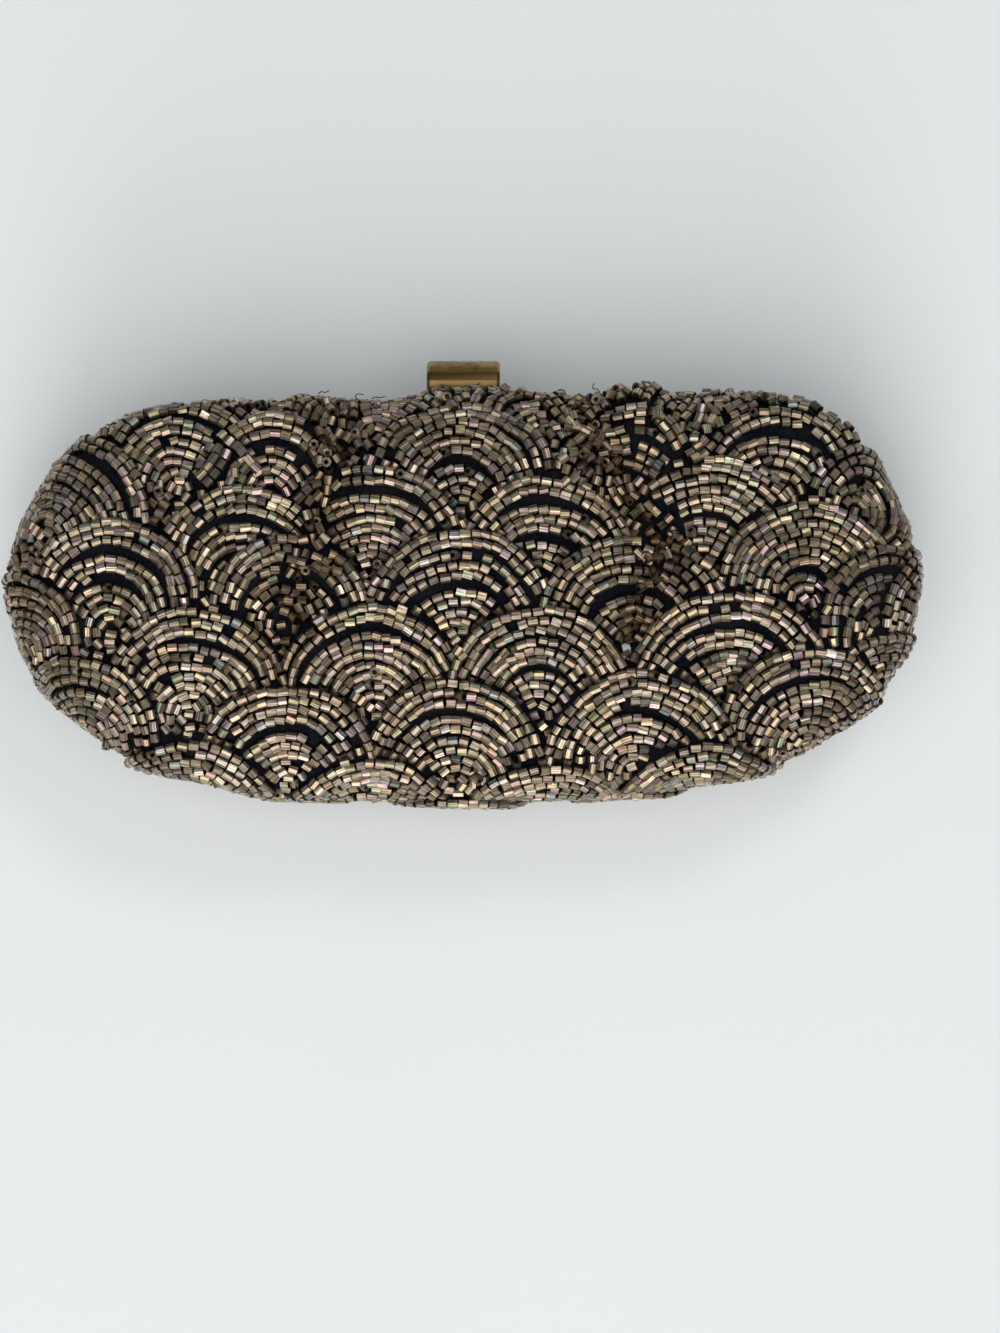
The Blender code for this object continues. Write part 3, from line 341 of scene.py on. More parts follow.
def activate(piece: Piece) -> None:
    """Make a piece the only selected and active one."""
    deselect()
    piece.select_set(True)
    bpy.context.view_layer.objects.active = piece


def select_faces(piece: Piece, keep: Callable[[Vector, Vector], bool]) -> None:
    """Select the faces of the edited mesh whose centre and normal pass a test."""
    bpy.ops.mesh.select_mode(type="FACE")
    bpy.ops.mesh.select_all(action="DESELECT")
    bpy.ops.object.mode_set(mode="OBJECT")
    for face in piece.data.polygons:
        face.select = keep(face.center, face.normal)
    bpy.ops.object.mode_set(mode="EDIT")


def faces_along_x(centre: Vector, normal: Vector) -> bool:
    """Whether a face points along X."""
    return abs(normal.x) > 0.9


def settle(piece: Piece) -> None:
    """Put a piece's place and turn into its mesh."""
    activate(piece)
    bpy.ops.object.transform_apply(location=True, rotation=True, scale=True)


def apply_modifier(piece: Piece, kind: str, **settings: object) -> None:
    """Add a modifier with its settings and apply it."""
    activate(piece)
    modifier = piece.modifiers.new(kind.lower(), kind)
    for name, value in settings.items():
        setattr(modifier, name, value)
    bpy.ops.object.modifier_apply(modifier=modifier.name)


def edit_whole(piece: Piece, *operations: Callable[[], object]) -> None:
    """Run operations of edit mode, each on a piece's whole mesh."""
    activate(piece)
    bpy.ops.object.mode_set(mode="EDIT")
    for operation in operations:
        bpy.ops.mesh.select_all(action="SELECT")
        operation()
    bpy.ops.object.mode_set(mode="OBJECT")


def turn_outwards() -> None:
    """Turn the selected faces outwards."""
    bpy.ops.mesh.normals_make_consistent(inside=False)


def clean_shell(piece: Piece, merge: float = 1e-6) -> None:
    """Merge a piece's doubles and turn its faces outwards."""
    edit_whole(piece, lambda: bpy.ops.mesh.remove_doubles(threshold=merge), turn_outwards)


def smooth(piece: Piece, degrees: float = 50) -> None:
    """Shade a piece smooth, apart from its sharper edges."""
    activate(piece)
    bpy.ops.object.shade_smooth_by_angle(angle=math.radians(degrees))


def linked(name: str, data: bpy.types.ID) -> Piece:
    """A new object of the scene that holds some data."""
    item = bpy.data.objects.new(name, data)
    bpy.context.scene.collection.objects.link(item)
    return item


def new_piece(name: str, points: Array, faces: Sequence[Sequence[int]]) -> Piece:
    """A piece from points and faces, in the frame's own place."""
    mesh = bpy.data.meshes.new(name)
    mesh.from_pydata(np.asarray(points).tolist(), [], faces)
    mesh.update()
    return linked(name, mesh)


def cylinder(
    name: str, sides: int, radius: float, length: float, place: Sequence[float] = (0, 0, 0)
) -> Piece:
    """A cylinder that lies along X, with its middle at a place."""
    deselect()
    bpy.ops.mesh.primitive_cylinder_add(
        vertices=sides, radius=radius, depth=length, location=place, rotation=(0, math.pi / 2, 0)
    )
    bpy.context.object.name = name
    return bpy.context.object


def quads(rows: int, wide: int, closed: bool) -> list[tuple[int, int, int, int]]:
    """Faces of a grid of points.

    Args:
        rows: How many rows of faces there are.
        wide: How many points are in each row.
        closed: Whether each row's last point joins its first.

    Returns:
        The faces.
    """
    faces = []
    for low in range(0, rows * wide, wide):
        for column in range(wide if closed else wide - 1):
            after = (column + 1) % wide
            faces.append((low + column, low + after, low + wide + after, low + wide + column))
    return faces


def mark(mesh: bpy.types.Mesh, name: str, values: Array) -> None:
    """Give each point of a mesh a value, or a colour where the values have four columns."""
    kind, key = ("FLOAT_COLOR", "color") if values.ndim == 2 else ("FLOAT", "value")
    layer = mesh.attributes.new(name, kind, "POINT")
    layer.data.foreach_set(key, values.astype(np.float32).ravel())


def add_uv(piece: Piece, name: str, places: Array) -> None:
    """Give a piece a UV map from one place for each of its vertices."""
    corners = np.empty(len(piece.data.loops), np.int32)
    piece.data.loops.foreach_get("vertex_index", corners)
    layer = piece.data.uv_layers.new(name=name)
    layer.uv.foreach_set("vector", places[corners].astype(np.float32).ravel())


def dress(
    piece: Piece,
    material: Material,
    slot: str,
    body: str,
    *nodes: str,
) -> Piece:
    """Give a piece its material and body, and let it stand for CAD nodes."""
    piece.data.materials.clear()
    piece.data.materials.append(material)
    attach(piece, body)
    if nodes:
        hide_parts(*nodes)
    LOG.info("%s: %d faces on %s", piece.name, len(piece.data.polygons), body)
    return piece


# Shader helpers


class NodeBench:
    """Places and joins the nodes of one material or node group."""

    def __init__(self, tree: Tree) -> None:
        """Start on an empty tree."""
        self.tree = tree
        tree.nodes.clear()

    def set(self, socket: Socket, value: object) -> None:
        """Link a socket to another, or set its constant."""
        if isinstance(value, Socket):
            self.tree.links.new(value, socket)
        elif isinstance(value, tuple) and len(value) == 3 and socket.type == "RGBA":
            socket.default_value = (*value, 1.0)
        else:
            socket.default_value = value

    def fill(self, node: Node, inputs: dict) -> Node:
        """Set inputs of a node by their names or numbers."""
        for name, value in inputs.items():
            self.set(node.inputs[name], value)
        return node

    def add(self, kind: str, inputs: dict | None = None, **settings: object) -> Node:
        """Add a node of a kind, with its inputs and settings."""
        node = self.tree.nodes.new(kind)
        for name, value in settings.items():
            setattr(node, name, value)
        return self.fill(node, inputs or {})

    def math(self, operation: str, *values: Socket | float) -> Socket:
        """The result of a sum on one to three values."""
        return self.add("ShaderNodeMath", dict(enumerate(values)), operation=operation).outputs[0]

    def mix(self, share: Socket | float, first: object, second: object, blend: str = "MIX") -> Socket:
        """Two colours mixed by a share."""
        inputs = {0: share, 6: first, 7: second}
        return self.add("ShaderNodeMix", inputs, data_type="RGBA", blend_type=blend).outputs[2]

    def shaded(self, colour: Socket | Colour, level: Socket) -> Socket:
        """A colour times a level."""
        grey = self.add("ShaderNodeCombineColor", dict.fromkeys(("Red", "Green", "Blue"), level))
        return self.mix(1.0, colour, grey.outputs[0], "MULTIPLY")

    def spread(self, value: Socket, low: float, high: float, to: Span) -> Socket:
        """A value stretched from one range to another, and held to it."""
        names = {"From Min": low, "From Max": high, "To Min": to[0], "To Max": to[1]}
        return self.add("ShaderNodeMapRange", {"Value": value, **names}).outputs[0]

    def noise(self, vector: Socket, scale: Socket | float, detail: float = 3.0) -> Socket:
        """Noise at a scale, about 0.5."""
        inputs = {"Vector": vector, "Scale": scale, "Detail": detail}
        return self.add("ShaderNodeTexNoise", inputs).outputs["Fac"]

    def mapped(self, vector: Socket, scale: tuple[float, float, float]) -> Socket:
        """Coordinates stretched by a scale."""
        return self.add("ShaderNodeMapping", {"Vector": vector, "Scale": scale}).outputs[0]

    def object_places(self) -> Socket:
        """Object coordinates."""
        return self.add("ShaderNodeTexCoord").outputs["Object"]

    def uv_places(self, name: str) -> Socket:
        """Coordinates of a UV map."""
        return self.add("ShaderNodeUVMap", uv_map=name).outputs[0]

    def parts(self, vector: Socket) -> bpy.types.bpy_prop_collection:
        """The X, Y and Z of a vector."""
        return self.add("ShaderNodeSeparateXYZ", {"Vector": vector}).outputs

    def attribute(self, name: str, output: str = "Fac") -> Socket:
        """What a mesh holds under a name."""
        return self.add("ShaderNodeAttribute", attribute_name=name).outputs[output]

    def bump(self, height: Socket, strength: float, distance: float) -> Socket:
        """A normal that follows a height."""
        inputs = {"Height": height, "Strength": strength, "Distance": distance}
        return self.add("ShaderNodeBump", inputs).outputs[0]

    def group(self, tree: Tree, inputs: dict) -> bpy.types.bpy_prop_collection:
        """Place a node group with its own values, for its outputs."""
        return self.add("ShaderNodeGroup", inputs, node_tree=tree).outputs


def new_group(name: str, inputs: dict[str, str], outputs: dict[str, str]) -> tuple:
    """A shader node group with named sockets.

    Args:
        name: The group's name.
        inputs: Socket types by name.
        outputs: Socket types by name.

    Returns:
        The tree, its bench, the values of its inputs, and its output node.
    """
    tree = bpy.data.node_groups.new(name, "ShaderNodeTree")
    for side, sockets in (("INPUT", inputs), ("OUTPUT", outputs)):
        for label, kind in sockets.items():
            tree.interface.new_socket(label, in_out=side, socket_type=f"NodeSocket{kind}")
    bench = NodeBench(tree)
    return tree, bench, bench.add("NodeGroupInput").outputs, bench.add("NodeGroupOutput")


class Effects:
    """The node groups that several finishes share."""

    def __init__(self) -> None:
        """Build each group once."""
        self.weave = self._weave()
        self.edge_wear = self._edge_wear()
        self.brush = self._brush()
        self.dust = self._dust()

    @staticmethod
    def _weave() -> Tree:
        """Plain weave: the height of the threads, and which set of them is on top."""
        inputs = {"Places": "Vector", "Threads": "Float", "Slub": "Float"}
        outputs = {"Height": "Float", "Warp": "Float"}
        tree, bench, source, sink = new_group("thread_weave", inputs, outputs)
        slub = bench.noise(bench.mapped(source["Places"], (60, 900, 1)), scale=1.0, detail=2.0)
        shift = bench.math("MULTIPLY", slub, source["Slub"])
        parts = bench.parts(source["Places"])
        waves = []
        for axis in ("X", "Y"):
            turns = bench.math("MULTIPLY", parts[axis], source["Threads"])
            waves.append(bench.math("SINE", bench.math("ADD", turns, shift)))
        warp = bench.spread(bench.math("MULTIPLY", *waves), -0.25, 0.25, (0, 1))
        ridge = bench.math("ADD", *[bench.math("ABSOLUTE", wave) for wave in waves])
        bench.fill(sink, {"Height": bench.math("MULTIPLY", ridge, 0.5), "Warp": warp})
        return tree

    @staticmethod
    def _edge_wear() -> Tree:
        """Wear along the edges of a piece, broken up by noise."""
        inputs = {"Width": "Float", "Break": "Float"}
        tree, bench, source, sink = new_group("edge_wear", inputs, {"Wear": "Float"})
        rounded = bench.add("ShaderNodeBevel", {"Radius": source["Width"]}, samples=4).outputs[0]
        plain = bench.add("ShaderNodeNewGeometry").outputs["True Normal"]
        dot = bench.add("ShaderNodeVectorMath", {0: rounded, 1: plain}, operation="DOT_PRODUCT")
        turned = bench.math("SUBTRACT", 1.0, dot.outputs["Value"])
        broken = bench.noise(bench.object_places(), scale=900.0, detail=4.0)
        worn = bench.math("MULTIPLY", bench.math("MULTIPLY", broken, source["Break"]), 0.1)
        edge = bench.spread(bench.math("SUBTRACT", turned, worn), 0.0, 0.14, (0, 1))
        bench.fill(sink, {"Wear": edge})
        return tree

    @staticmethod
    def _brush() -> Tree:
        """Fine lines drawn along X, as a brush wheel leaves them."""
        inputs = {"Places": "Vector", "Fineness": "Float"}
        tree, bench, source, sink = new_group("brush_lines", inputs, {"Lines": "Float"})
        drawn = bench.mapped(source["Places"], (0.03, 1.0, 1.0))
        bench.fill(sink, {"Lines": bench.noise(drawn, source["Fineness"], detail=4.0)})
        return tree

    @staticmethod
    def _dust() -> Tree:
        """Settled dust and lint, in soft patches with fine specks."""
        inputs = {"Places": "Vector", "Amount": "Float"}
        tree, bench, source, sink = new_group("settled_dust", inputs, {"Dust": "Float"})
        patch = bench.noise(source["Places"], scale=90.0, detail=4.0)
        speck = bench.noise(source["Places"], scale=2600.0, detail=2.0)
        half_patch = bench.math("MULTIPLY", bench.spread(patch, 0.4, 0.75, (0, 1)), 0.5)
        both = bench.math("ADD", half_patch, bench.spread(speck, 0.52, 0.8, (0, 1)))
        bench.fill(sink, {"Dust": bench.math("MULTIPLY", both, source["Amount"])})
        return tree

    def dusted(self, bench: NodeBench, amount: float, colour: Socket, dust: Colour) -> Socket:
        """A colour with dust of another colour settled on it."""
        mask = bench.group(self.dust, {"Places": bench.object_places(), "Amount": amount})
        return bench.mix(mask["Dust"], colour, dust)


def new_material(name: str) -> tuple[Material, NodeBench, Node]:
    """A material with a Principled shader on its output.

    Args:
        name: The material's name.

    Returns:
        The material, its bench and its shader node.
    """
    material = bpy.data.materials.new(name)
    material.use_nodes = True
    bench = NodeBench(material.node_tree)
    shader = bench.add("ShaderNodeBsdfPrincipled")
    bench.add("ShaderNodeOutputMaterial", {"Surface": shader.outputs[0]})
    return material, bench, shader


# Finishes


@dataclass(frozen=True)
class BeadGlass:
    """Lustred tube-bead glass, its gloss, and light and shade painted into its colour.

    Its stripes and facets are painted inner reflections, and painted shade darkens each bead
    near the cloth, at its ends and in its bore. The seed factors set each bead's stripes and
    facets apart from those of the others.
    """

    shadow: Colour = (0.020, 0.015, 0.010)
    stripe: Span = (0.50, 1.32)
    stripe_noise: Span = (0.36, 0.62)
    stripes_round: float = 19.0
    stripes_along: float = 0.35
    stripe_hue: float = 0.55
    facets: Span = (0.66, 1.10)
    facet_hue: float = 0.05
    sides: float = 8.0
    seed_round: float = 61.0
    seed_along: float = 17.0
    seed_facet: float = 311.0
    underside_shade_heights: Span = (-0.15, 0.90)
    low: float = 0.10
    rim: Span = (0.40, 0.5)
    rim_shade: float = 0.55
    film_scale: float = 500.0
    metallic: float = 0.80
    roughness: Span = (0.22, 0.40)
    coat: float = 0.25
    coat_roughness: float = 0.18

    def make(self) -> Material:
        """Build the material."""
        material, bench, shader = new_material("bead_glass")
        tint = bench.attribute("bead_tint_and_crease_shade", "Color")
        seed, bore, height = (bench.attribute(f"bead_{name}") for name in ("seed", "bore", "height"))
        around, along = bench.parts(bench.uv_places("bead_uv"))[:2]
        # Painted reflection: noise stripes round and along each bead, with their own hue, stand in for
        # light reflected inside the lined glass.
        turned = bench.math("MULTIPLY", around, self.stripes_round)
        shifted = bench.math("MULTIPLY", seed, self.seed_along)
        x = bench.math("MULTIPLY_ADD", seed, self.seed_round, turned)
        y = bench.math("MULTIPLY_ADD", along, self.stripes_along, shifted)
        place = bench.add("ShaderNodeCombineXYZ", {"X": x, "Y": y}).outputs[0]
        inputs = {"Vector": place, "Scale": 1.0, "Detail": 2.0}
        line = bench.add("ShaderNodeTexNoise", inputs, noise_dimensions="2D").outputs
        stripe = bench.spread(line["Fac"], *self.stripe_noise, self.stripe)
        # Painted reflection: each facet gets its own random brightness and hue cast, as if it caught a
        # different part of the room.
        facet = bench.math("FLOOR", bench.math("MULTIPLY", around, self.sides))
        number = bench.math("MULTIPLY_ADD", seed, self.seed_facet, facet)
        cast = bench.add("ShaderNodeTexWhiteNoise", {"W": number}, noise_dimensions="1D").outputs
        shade = bench.spread(cast["Value"], 0.0, 1.0, self.facets)
        # Painted shade: the low parts of each bead, near the cloth, darken towards the low level.
        raised = bench.spread(height, *self.underside_shade_heights, (self.low, 1.0))
        level = bench.math("MULTIPLY", bench.math("MULTIPLY", stripe, shade), raised)
        hue = bench.mix(self.facet_hue, bench.shaded(tint, level), cast["Color"], "OVERLAY")
        hue = bench.mix(self.stripe_hue, hue, line["Color"], "OVERLAY")
        # Painted shade: each bead darkens towards the shadow colour at its ends, where it meets its
        # neighbours, and in its bore.
        end = bench.math("ABSOLUTE", bench.math("SUBTRACT", along, 0.5))
        dark = bench.math("MAXIMUM", bench.spread(end, *self.rim, (0.0, self.rim_shade)), bore)
        film = bench.noise(bench.object_places(), self.film_scale)
        looks = {
            "Base Color": bench.mix(dark, hue, self.shadow),
            "Roughness": bench.spread(film, 0.3, 0.7, self.roughness),
            "Metallic": self.metallic,
            "Coat Weight": self.coat,
            "Coat Roughness": self.coat_roughness,
        }
        bench.fill(shader, looks)
        return material


@dataclass(frozen=True)
class WovenCloth:
    """A plain woven cloth."""

    name: str
    colour: Colour
    light: Colour
    threads: float = 17000.0
    relief: float = 0.00005
    sheen: float = 0.0
    roughness: float = 0.85
    specular: float = 0.05
    slub: float = 1.6
    patch_scale: float = 60.0
    warp_gloss: float = 0.08
    dust: float = 0.05
    dust_colour: Colour = (0.35, 0.33, 0.31)

    def make(self, effects: Effects) -> Material:
        """Build the material."""
        material, bench, shader = new_material(self.name)
        inputs = {"Places": bench.uv_places("cloth_uv"), "Threads": self.threads, "Slub": self.slub}
        weave = bench.group(effects.weave, inputs)
        # Painted light: the thread crowns take the lighter colour and the hollows between threads the
        # darker one.
        body = bench.mix(weave["Height"], self.colour, self.light)
        patch = bench.noise(bench.object_places(), self.patch_scale, detail=4.0)
        body = bench.mix(bench.spread(patch, 0.35, 0.7, (0, 0.5)), body, self.colour)
        glossy = self.roughness - self.warp_gloss
        looks = {
            "Base Color": effects.dusted(bench, self.dust, body, self.dust_colour),
            "Roughness": bench.spread(weave["Warp"], 0, 1, (glossy, self.roughness)),
            "Specular IOR Level": self.specular,
            "Sheen Weight": self.sheen,
            "Sheen Roughness": 0.5,
            "Normal": bench.bump(weave["Height"], 0.8, self.relief),
        }
        bench.fill(shader, looks)
        return material


@dataclass(frozen=True)
class MetalFinish:
    """Antique or bright metal with brushed lines, tarnish and worn edges.

    A band is the middle and width, along Y, of a strip where the metal is painted darker.
    Below it a lesser darkening is held from there downwards: painted shade over the lamp's
    bright reflection on the bar.
    """

    name: str
    bright: Colour
    tarnish: Colour
    tarnish_share: Span = (0.42, 0.66)
    roughness: Span = (0.24, 0.46)
    fineness: float = 5200.0
    edge: float = 0.00035
    dust: float = 0.12
    dust_colour: Colour = (0.3, 0.27, 0.22)
    most_tarnish: float = 0.85
    streaks: Span = (0.72, 1.12)
    line_relief: float = 0.00002
    band: Span | None = None
    band_darkening: float = 0.86
    under_shade: float = 0.52

    def _age(self, bench: NodeBench, effects: Effects, places: Socket) -> Socket:
        """Where the metal is tarnished, and how much; on a banded bar also its darker strip and the
        painted shade below it.
        """
        cloud = bench.math("MULTIPLY", bench.noise(places, 420.0, detail=6.0), 0.75)
        age = bench.math("MULTIPLY_ADD", bench.noise(places, 2600.0), 0.35, cloud)
        age = bench.spread(age, *self.tarnish_share, (0.0, self.most_tarnish))
        wear = bench.group(effects.edge_wear, {"Width": self.edge, "Break": 1.0})
        age = bench.math("MULTIPLY", age, bench.math("SUBTRACT", 1.0, wear["Wear"]))
        if self.band:
            middle, width = self.band
            y = bench.parts(places)[1]
            # A darker strip painted along the band's middle.
            away = bench.math("ABSOLUTE", bench.math("SUBTRACT", y, middle))
            held = bench.spread(away, width * 0.38, width * 0.66, (self.band_darkening, 0.0))
            # Painted shade: below the band the bar is darkened over the lamp's bright reflection there.
            low, high = middle - width * 0.68, middle - width * 0.5
            under = bench.spread(y, low, high, (self.under_shade, 0.0))
            age = bench.math("MAXIMUM", age, bench.math("MAXIMUM", held, under))
        return age

    def make(self, effects: Effects) -> Material:
        """Build the material."""
        material, bench, shader = new_material(self.name)
        places = bench.object_places()
        line = bench.group(effects.brush, {"Places": places, "Fineness": self.fineness})["Lines"]
        age = self._age(bench, effects, places)
        metal = bench.shaded(self.bright, bench.spread(line, 0.3, 0.7, self.streaks))
        aged = bench.mix(age, metal, self.tarnish)
        gloss = bench.math("MULTIPLY_ADD", age, 0.5, bench.math("MULTIPLY", line, 0.6))
        looks = {
            "Base Color": effects.dusted(bench, self.dust, aged, self.dust_colour),
            "Roughness": bench.spread(gloss, 0.15, 0.75, self.roughness),
            "Metallic": 1.0,
            "Normal": bench.bump(line, 0.35, self.line_relief),
        }
        bench.fill(shader, looks)
        return material


@dataclass(frozen=True)
class FibreFinish:
    """Matt stuff made of fibres, such as wadding or pressed board."""

    name: str
    colour: Colour
    light: Colour
    scale: float = 900.0
    relief: float = 0.0002
    sheen: float = 0.2
    dust: float = 0.1

    def make(self, effects: Effects) -> Material:
        """Build the material."""
        material, bench, shader = new_material(self.name)
        drawn = bench.mapped(bench.object_places(), (1.0, 0.35, 1.0))
        fibre = bench.noise(drawn, self.scale, detail=6.0)
        body = bench.mix(bench.spread(fibre, 0.35, 0.68, (0, 1)), self.colour, self.light)
        looks = {
            "Base Color": effects.dusted(bench, self.dust, body, self.light),
            "Roughness": bench.spread(fibre, 0.3, 0.7, (0.8, 0.95)),
            "Sheen Weight": self.sheen,
            "Normal": bench.bump(fibre, 0.7, self.relief),
        }
        bench.fill(shader, looks)
        return material


NAVY_CLOTH = WovenCloth("navy_cover_cloth", (0.0010, 0.0013, 0.0030), (0.004, 0.005, 0.011))
SATIN = WovenCloth(
    "black_satin", (0.012, 0.012, 0.016), (0.035, 0.035, 0.045), 26000.0, 0.00002, 0.1, 0.42, 0.5
)
BRASS = MetalFinish(
    "antique_brass", (0.33, 0.225, 0.085), (0.130, 0.082, 0.032), (0.46, 0.80), (0.26, 0.42)
)
LEVER_BRASS = MetalFinish(
    "worn_lever_brass",
    (0.36, 0.238, 0.088), (0.056, 0.034, 0.011), (0.50, 0.80), (0.26, 0.42),
    dust=0.04,
    band=(0.0525, 0.0021),
)
STEEL = MetalFinish(
    "spring_steel", (0.55, 0.55, 0.56), (0.22, 0.20, 0.18), (0.5, 0.8), (0.22, 0.36)
)
WADDING = FibreFinish("wadding_fibre", (0.52, 0.50, 0.46), (0.78, 0.76, 0.71))
BOARD = FibreFinish("pressed_board", (0.06, 0.052, 0.045), (0.14, 0.125, 0.11), 1500.0, 0.00005, 0.0)


class Finishes:
    """All the materials of the clutch, made once."""

    def __init__(self) -> None:
        """Make the materials."""
        effects = Effects()
        self.beads = BeadGlass().make()
        self.cloth = NAVY_CLOTH.make(effects)
        self.satin = SATIN.make(effects)
        self.brass = BRASS.make(effects)
        self.lever = LEVER_BRASS.make(effects)
        self.steel = STEEL.make(effects)
        self.wadding = WADDING.make(effects)
        self.board = BOARD.make(effects)


# Fans of beads


@dataclass(frozen=True)
class Fan:
    """A fan of bead rows on the fabric.

    Its crescents are the radii at which cloth shows between two bands of rows.
    """

    centre: Span
    radius: float
    crescents: tuple[float, ...] = ()
    turn: float = 0.0


class FanPlan:
    """Where the fans of one half lie, from the topmost down. A lower fan lies over a higher one."""

    # Pixels of the photograph: centre, outer radius, crescent radii, and turn in degrees
    rows_by_centre = (
        (180, 480, 85, (24, 67), 8), (275, 490, 75, (40,), 0), (462, 500, 97, (39, 75), 0),
        (632, 500, 85, (24, 58), 0), (772, 490, 97, (16, 56), 0), (862, 512, 62, (30,), -50),
        (58, 532, 102, (20, 46, 81), -28), (248, 578, 88, (34, 60), 0),
        (370, 575, 105, (53, 87), 0), (545, 572, 90, (34, 68), 0), (702, 567, 108, (50, 84), 0),
        (806, 600, 95, (30, 72), 0), (25, 645, 72, (34, 56), 12), (117, 613, 90, (27, 62), 0),
        (292, 620, 80, (52,), 0), (462, 632, 98, (46, 74), 0), (632, 640, 100, (46,), 0),
        (886, 628, 78, (32, 56), -10), (92, 730, 82, (22, 54), 0), (200, 705, 95, (34, 66), 0),
        (372, 700, 93, (37, 67), 0), (538, 705, 96, (39, 68), 0), (728, 700, 106, (13, 46, 79), 0),
        (884, 704, 78, (40,), 0),
    )
    # The same, with the top of the fan in place of its centre
    rows_by_top = (
        (190, 738, 93, (36, 62), 0), (289, 687, 93, (53,), 0), (455, 682, 93, (37, 64), 0),
        (640, 672, 96, (60,), 0), (808, 648, 94, (36, 66), 0), (372, 757, 88, (40,), 0),
        (545, 762, 88, (34, 62), 0), (705, 742, 92, (30, 60), 0),
    )
    column_pitch = 0.0395
    row_pitch = 0.0157
    full_radius = 0.0215
    free_distance = 0.0175
    first_row = 0.0236
    rows = range(-7, 4)
    columns = range(-4, 5)
    wobble = 0.0009
    furthest = 1.22
    radius_shares = (0.97, 1.04)
    gap_shares = ((0.36, 0.44), (0.68, 0.76))
    most_turn = 5
    seeds = {Half.FRONT: 11, Half.REAR: 12}

    def __init__(self, skin_map: SkinMap) -> None:
        """Lay out the fans.

        Args:
            skin_map: The cloth of the half.
        """
        self.map = skin_map
        self.random = np.random.default_rng(self.seeds[skin_map.half])
        fans = self._photo_fans() if skin_map.half is Half.FRONT else []
        fans += self._lattice_fans(fans)
        self.fans = sorted(fans, key=lambda fan: -fan.centre[1])
        self.centres = np.array([fan.centre for fan in self.fans])
        self.radii = np.array([fan.radius for fan in self.fans])

    def _photo_fans(self) -> list[Fan]:
        """The fans that the photograph shows."""
        fans = []
        scale = 1 / PIXELS_PER_METRE
        for from_top, rows in ((False, self.rows_by_centre), (True, self.rows_by_top)):
            places = self.map.fabric_of(plan_of([row[:2] for row in rows]))
            for place, (_, _, radius, crescents, turn) in zip(places, rows):
                y = place[1] - radius * scale if from_top else place[1]
                gaps = tuple(gap * scale for gap in crescents)
                fans.append(Fan((float(place[0]), float(y)), radius * scale, gaps, turn))
        return fans

    def _lattice_fans(self, taken: list[Fan]) -> list[Fan]:
        """Evenly spaced fans wherever none is near."""
        fans = []
        for row in self.rows:
            shift = self.column_pitch / 2 if row % 2 else 0.0
            for column in self.columns:
                wobble = self.random.uniform(-self.wobble, self.wobble, 2)
                x = column * self.column_pitch + shift + wobble[0]
                y = self.first_row + row * self.row_pitch + wobble[1]
                far = self.map.spread(np.array([[x, y]]))[0] > self.furthest
                if far or any(math.dist((x, y), fan.centre) < self.free_distance for fan in taken):
                    continue
                radius = self.full_radius * self.random.uniform(*self.radius_shares)
                gaps = tuple(radius * self.random.uniform(*shares) for shares in self.gap_shares)
                turn = self.random.uniform(-self.most_turn, self.most_turn)
                fans.append(Fan((x, y), radius, gaps, turn))
        return fans

    def owner(self, fabric: Array) -> Array:
        """The uppermost fan at each fabric place, or -1."""
        away = np.linalg.norm(fabric[:, None] - self.centres[None], axis=2)
        covered = away < self.radii[None]
        last = len(self.fans) - 1 - np.argmax(covered[:, ::-1], axis=1)
        return np.where(covered.any(axis=1), last, -1)

    def room(self, fabric: Array, owners: Array) -> Array:
        """Distance from each fabric place to the nearest fan that lies over its own."""
        away = np.linalg.norm(fabric[:, None] - self.centres[None], axis=2) - self.radii[None]
        later = np.arange(len(self.fans))[None] > owners[:, None]
        return np.where(later, away, 1.0).min(axis=1)


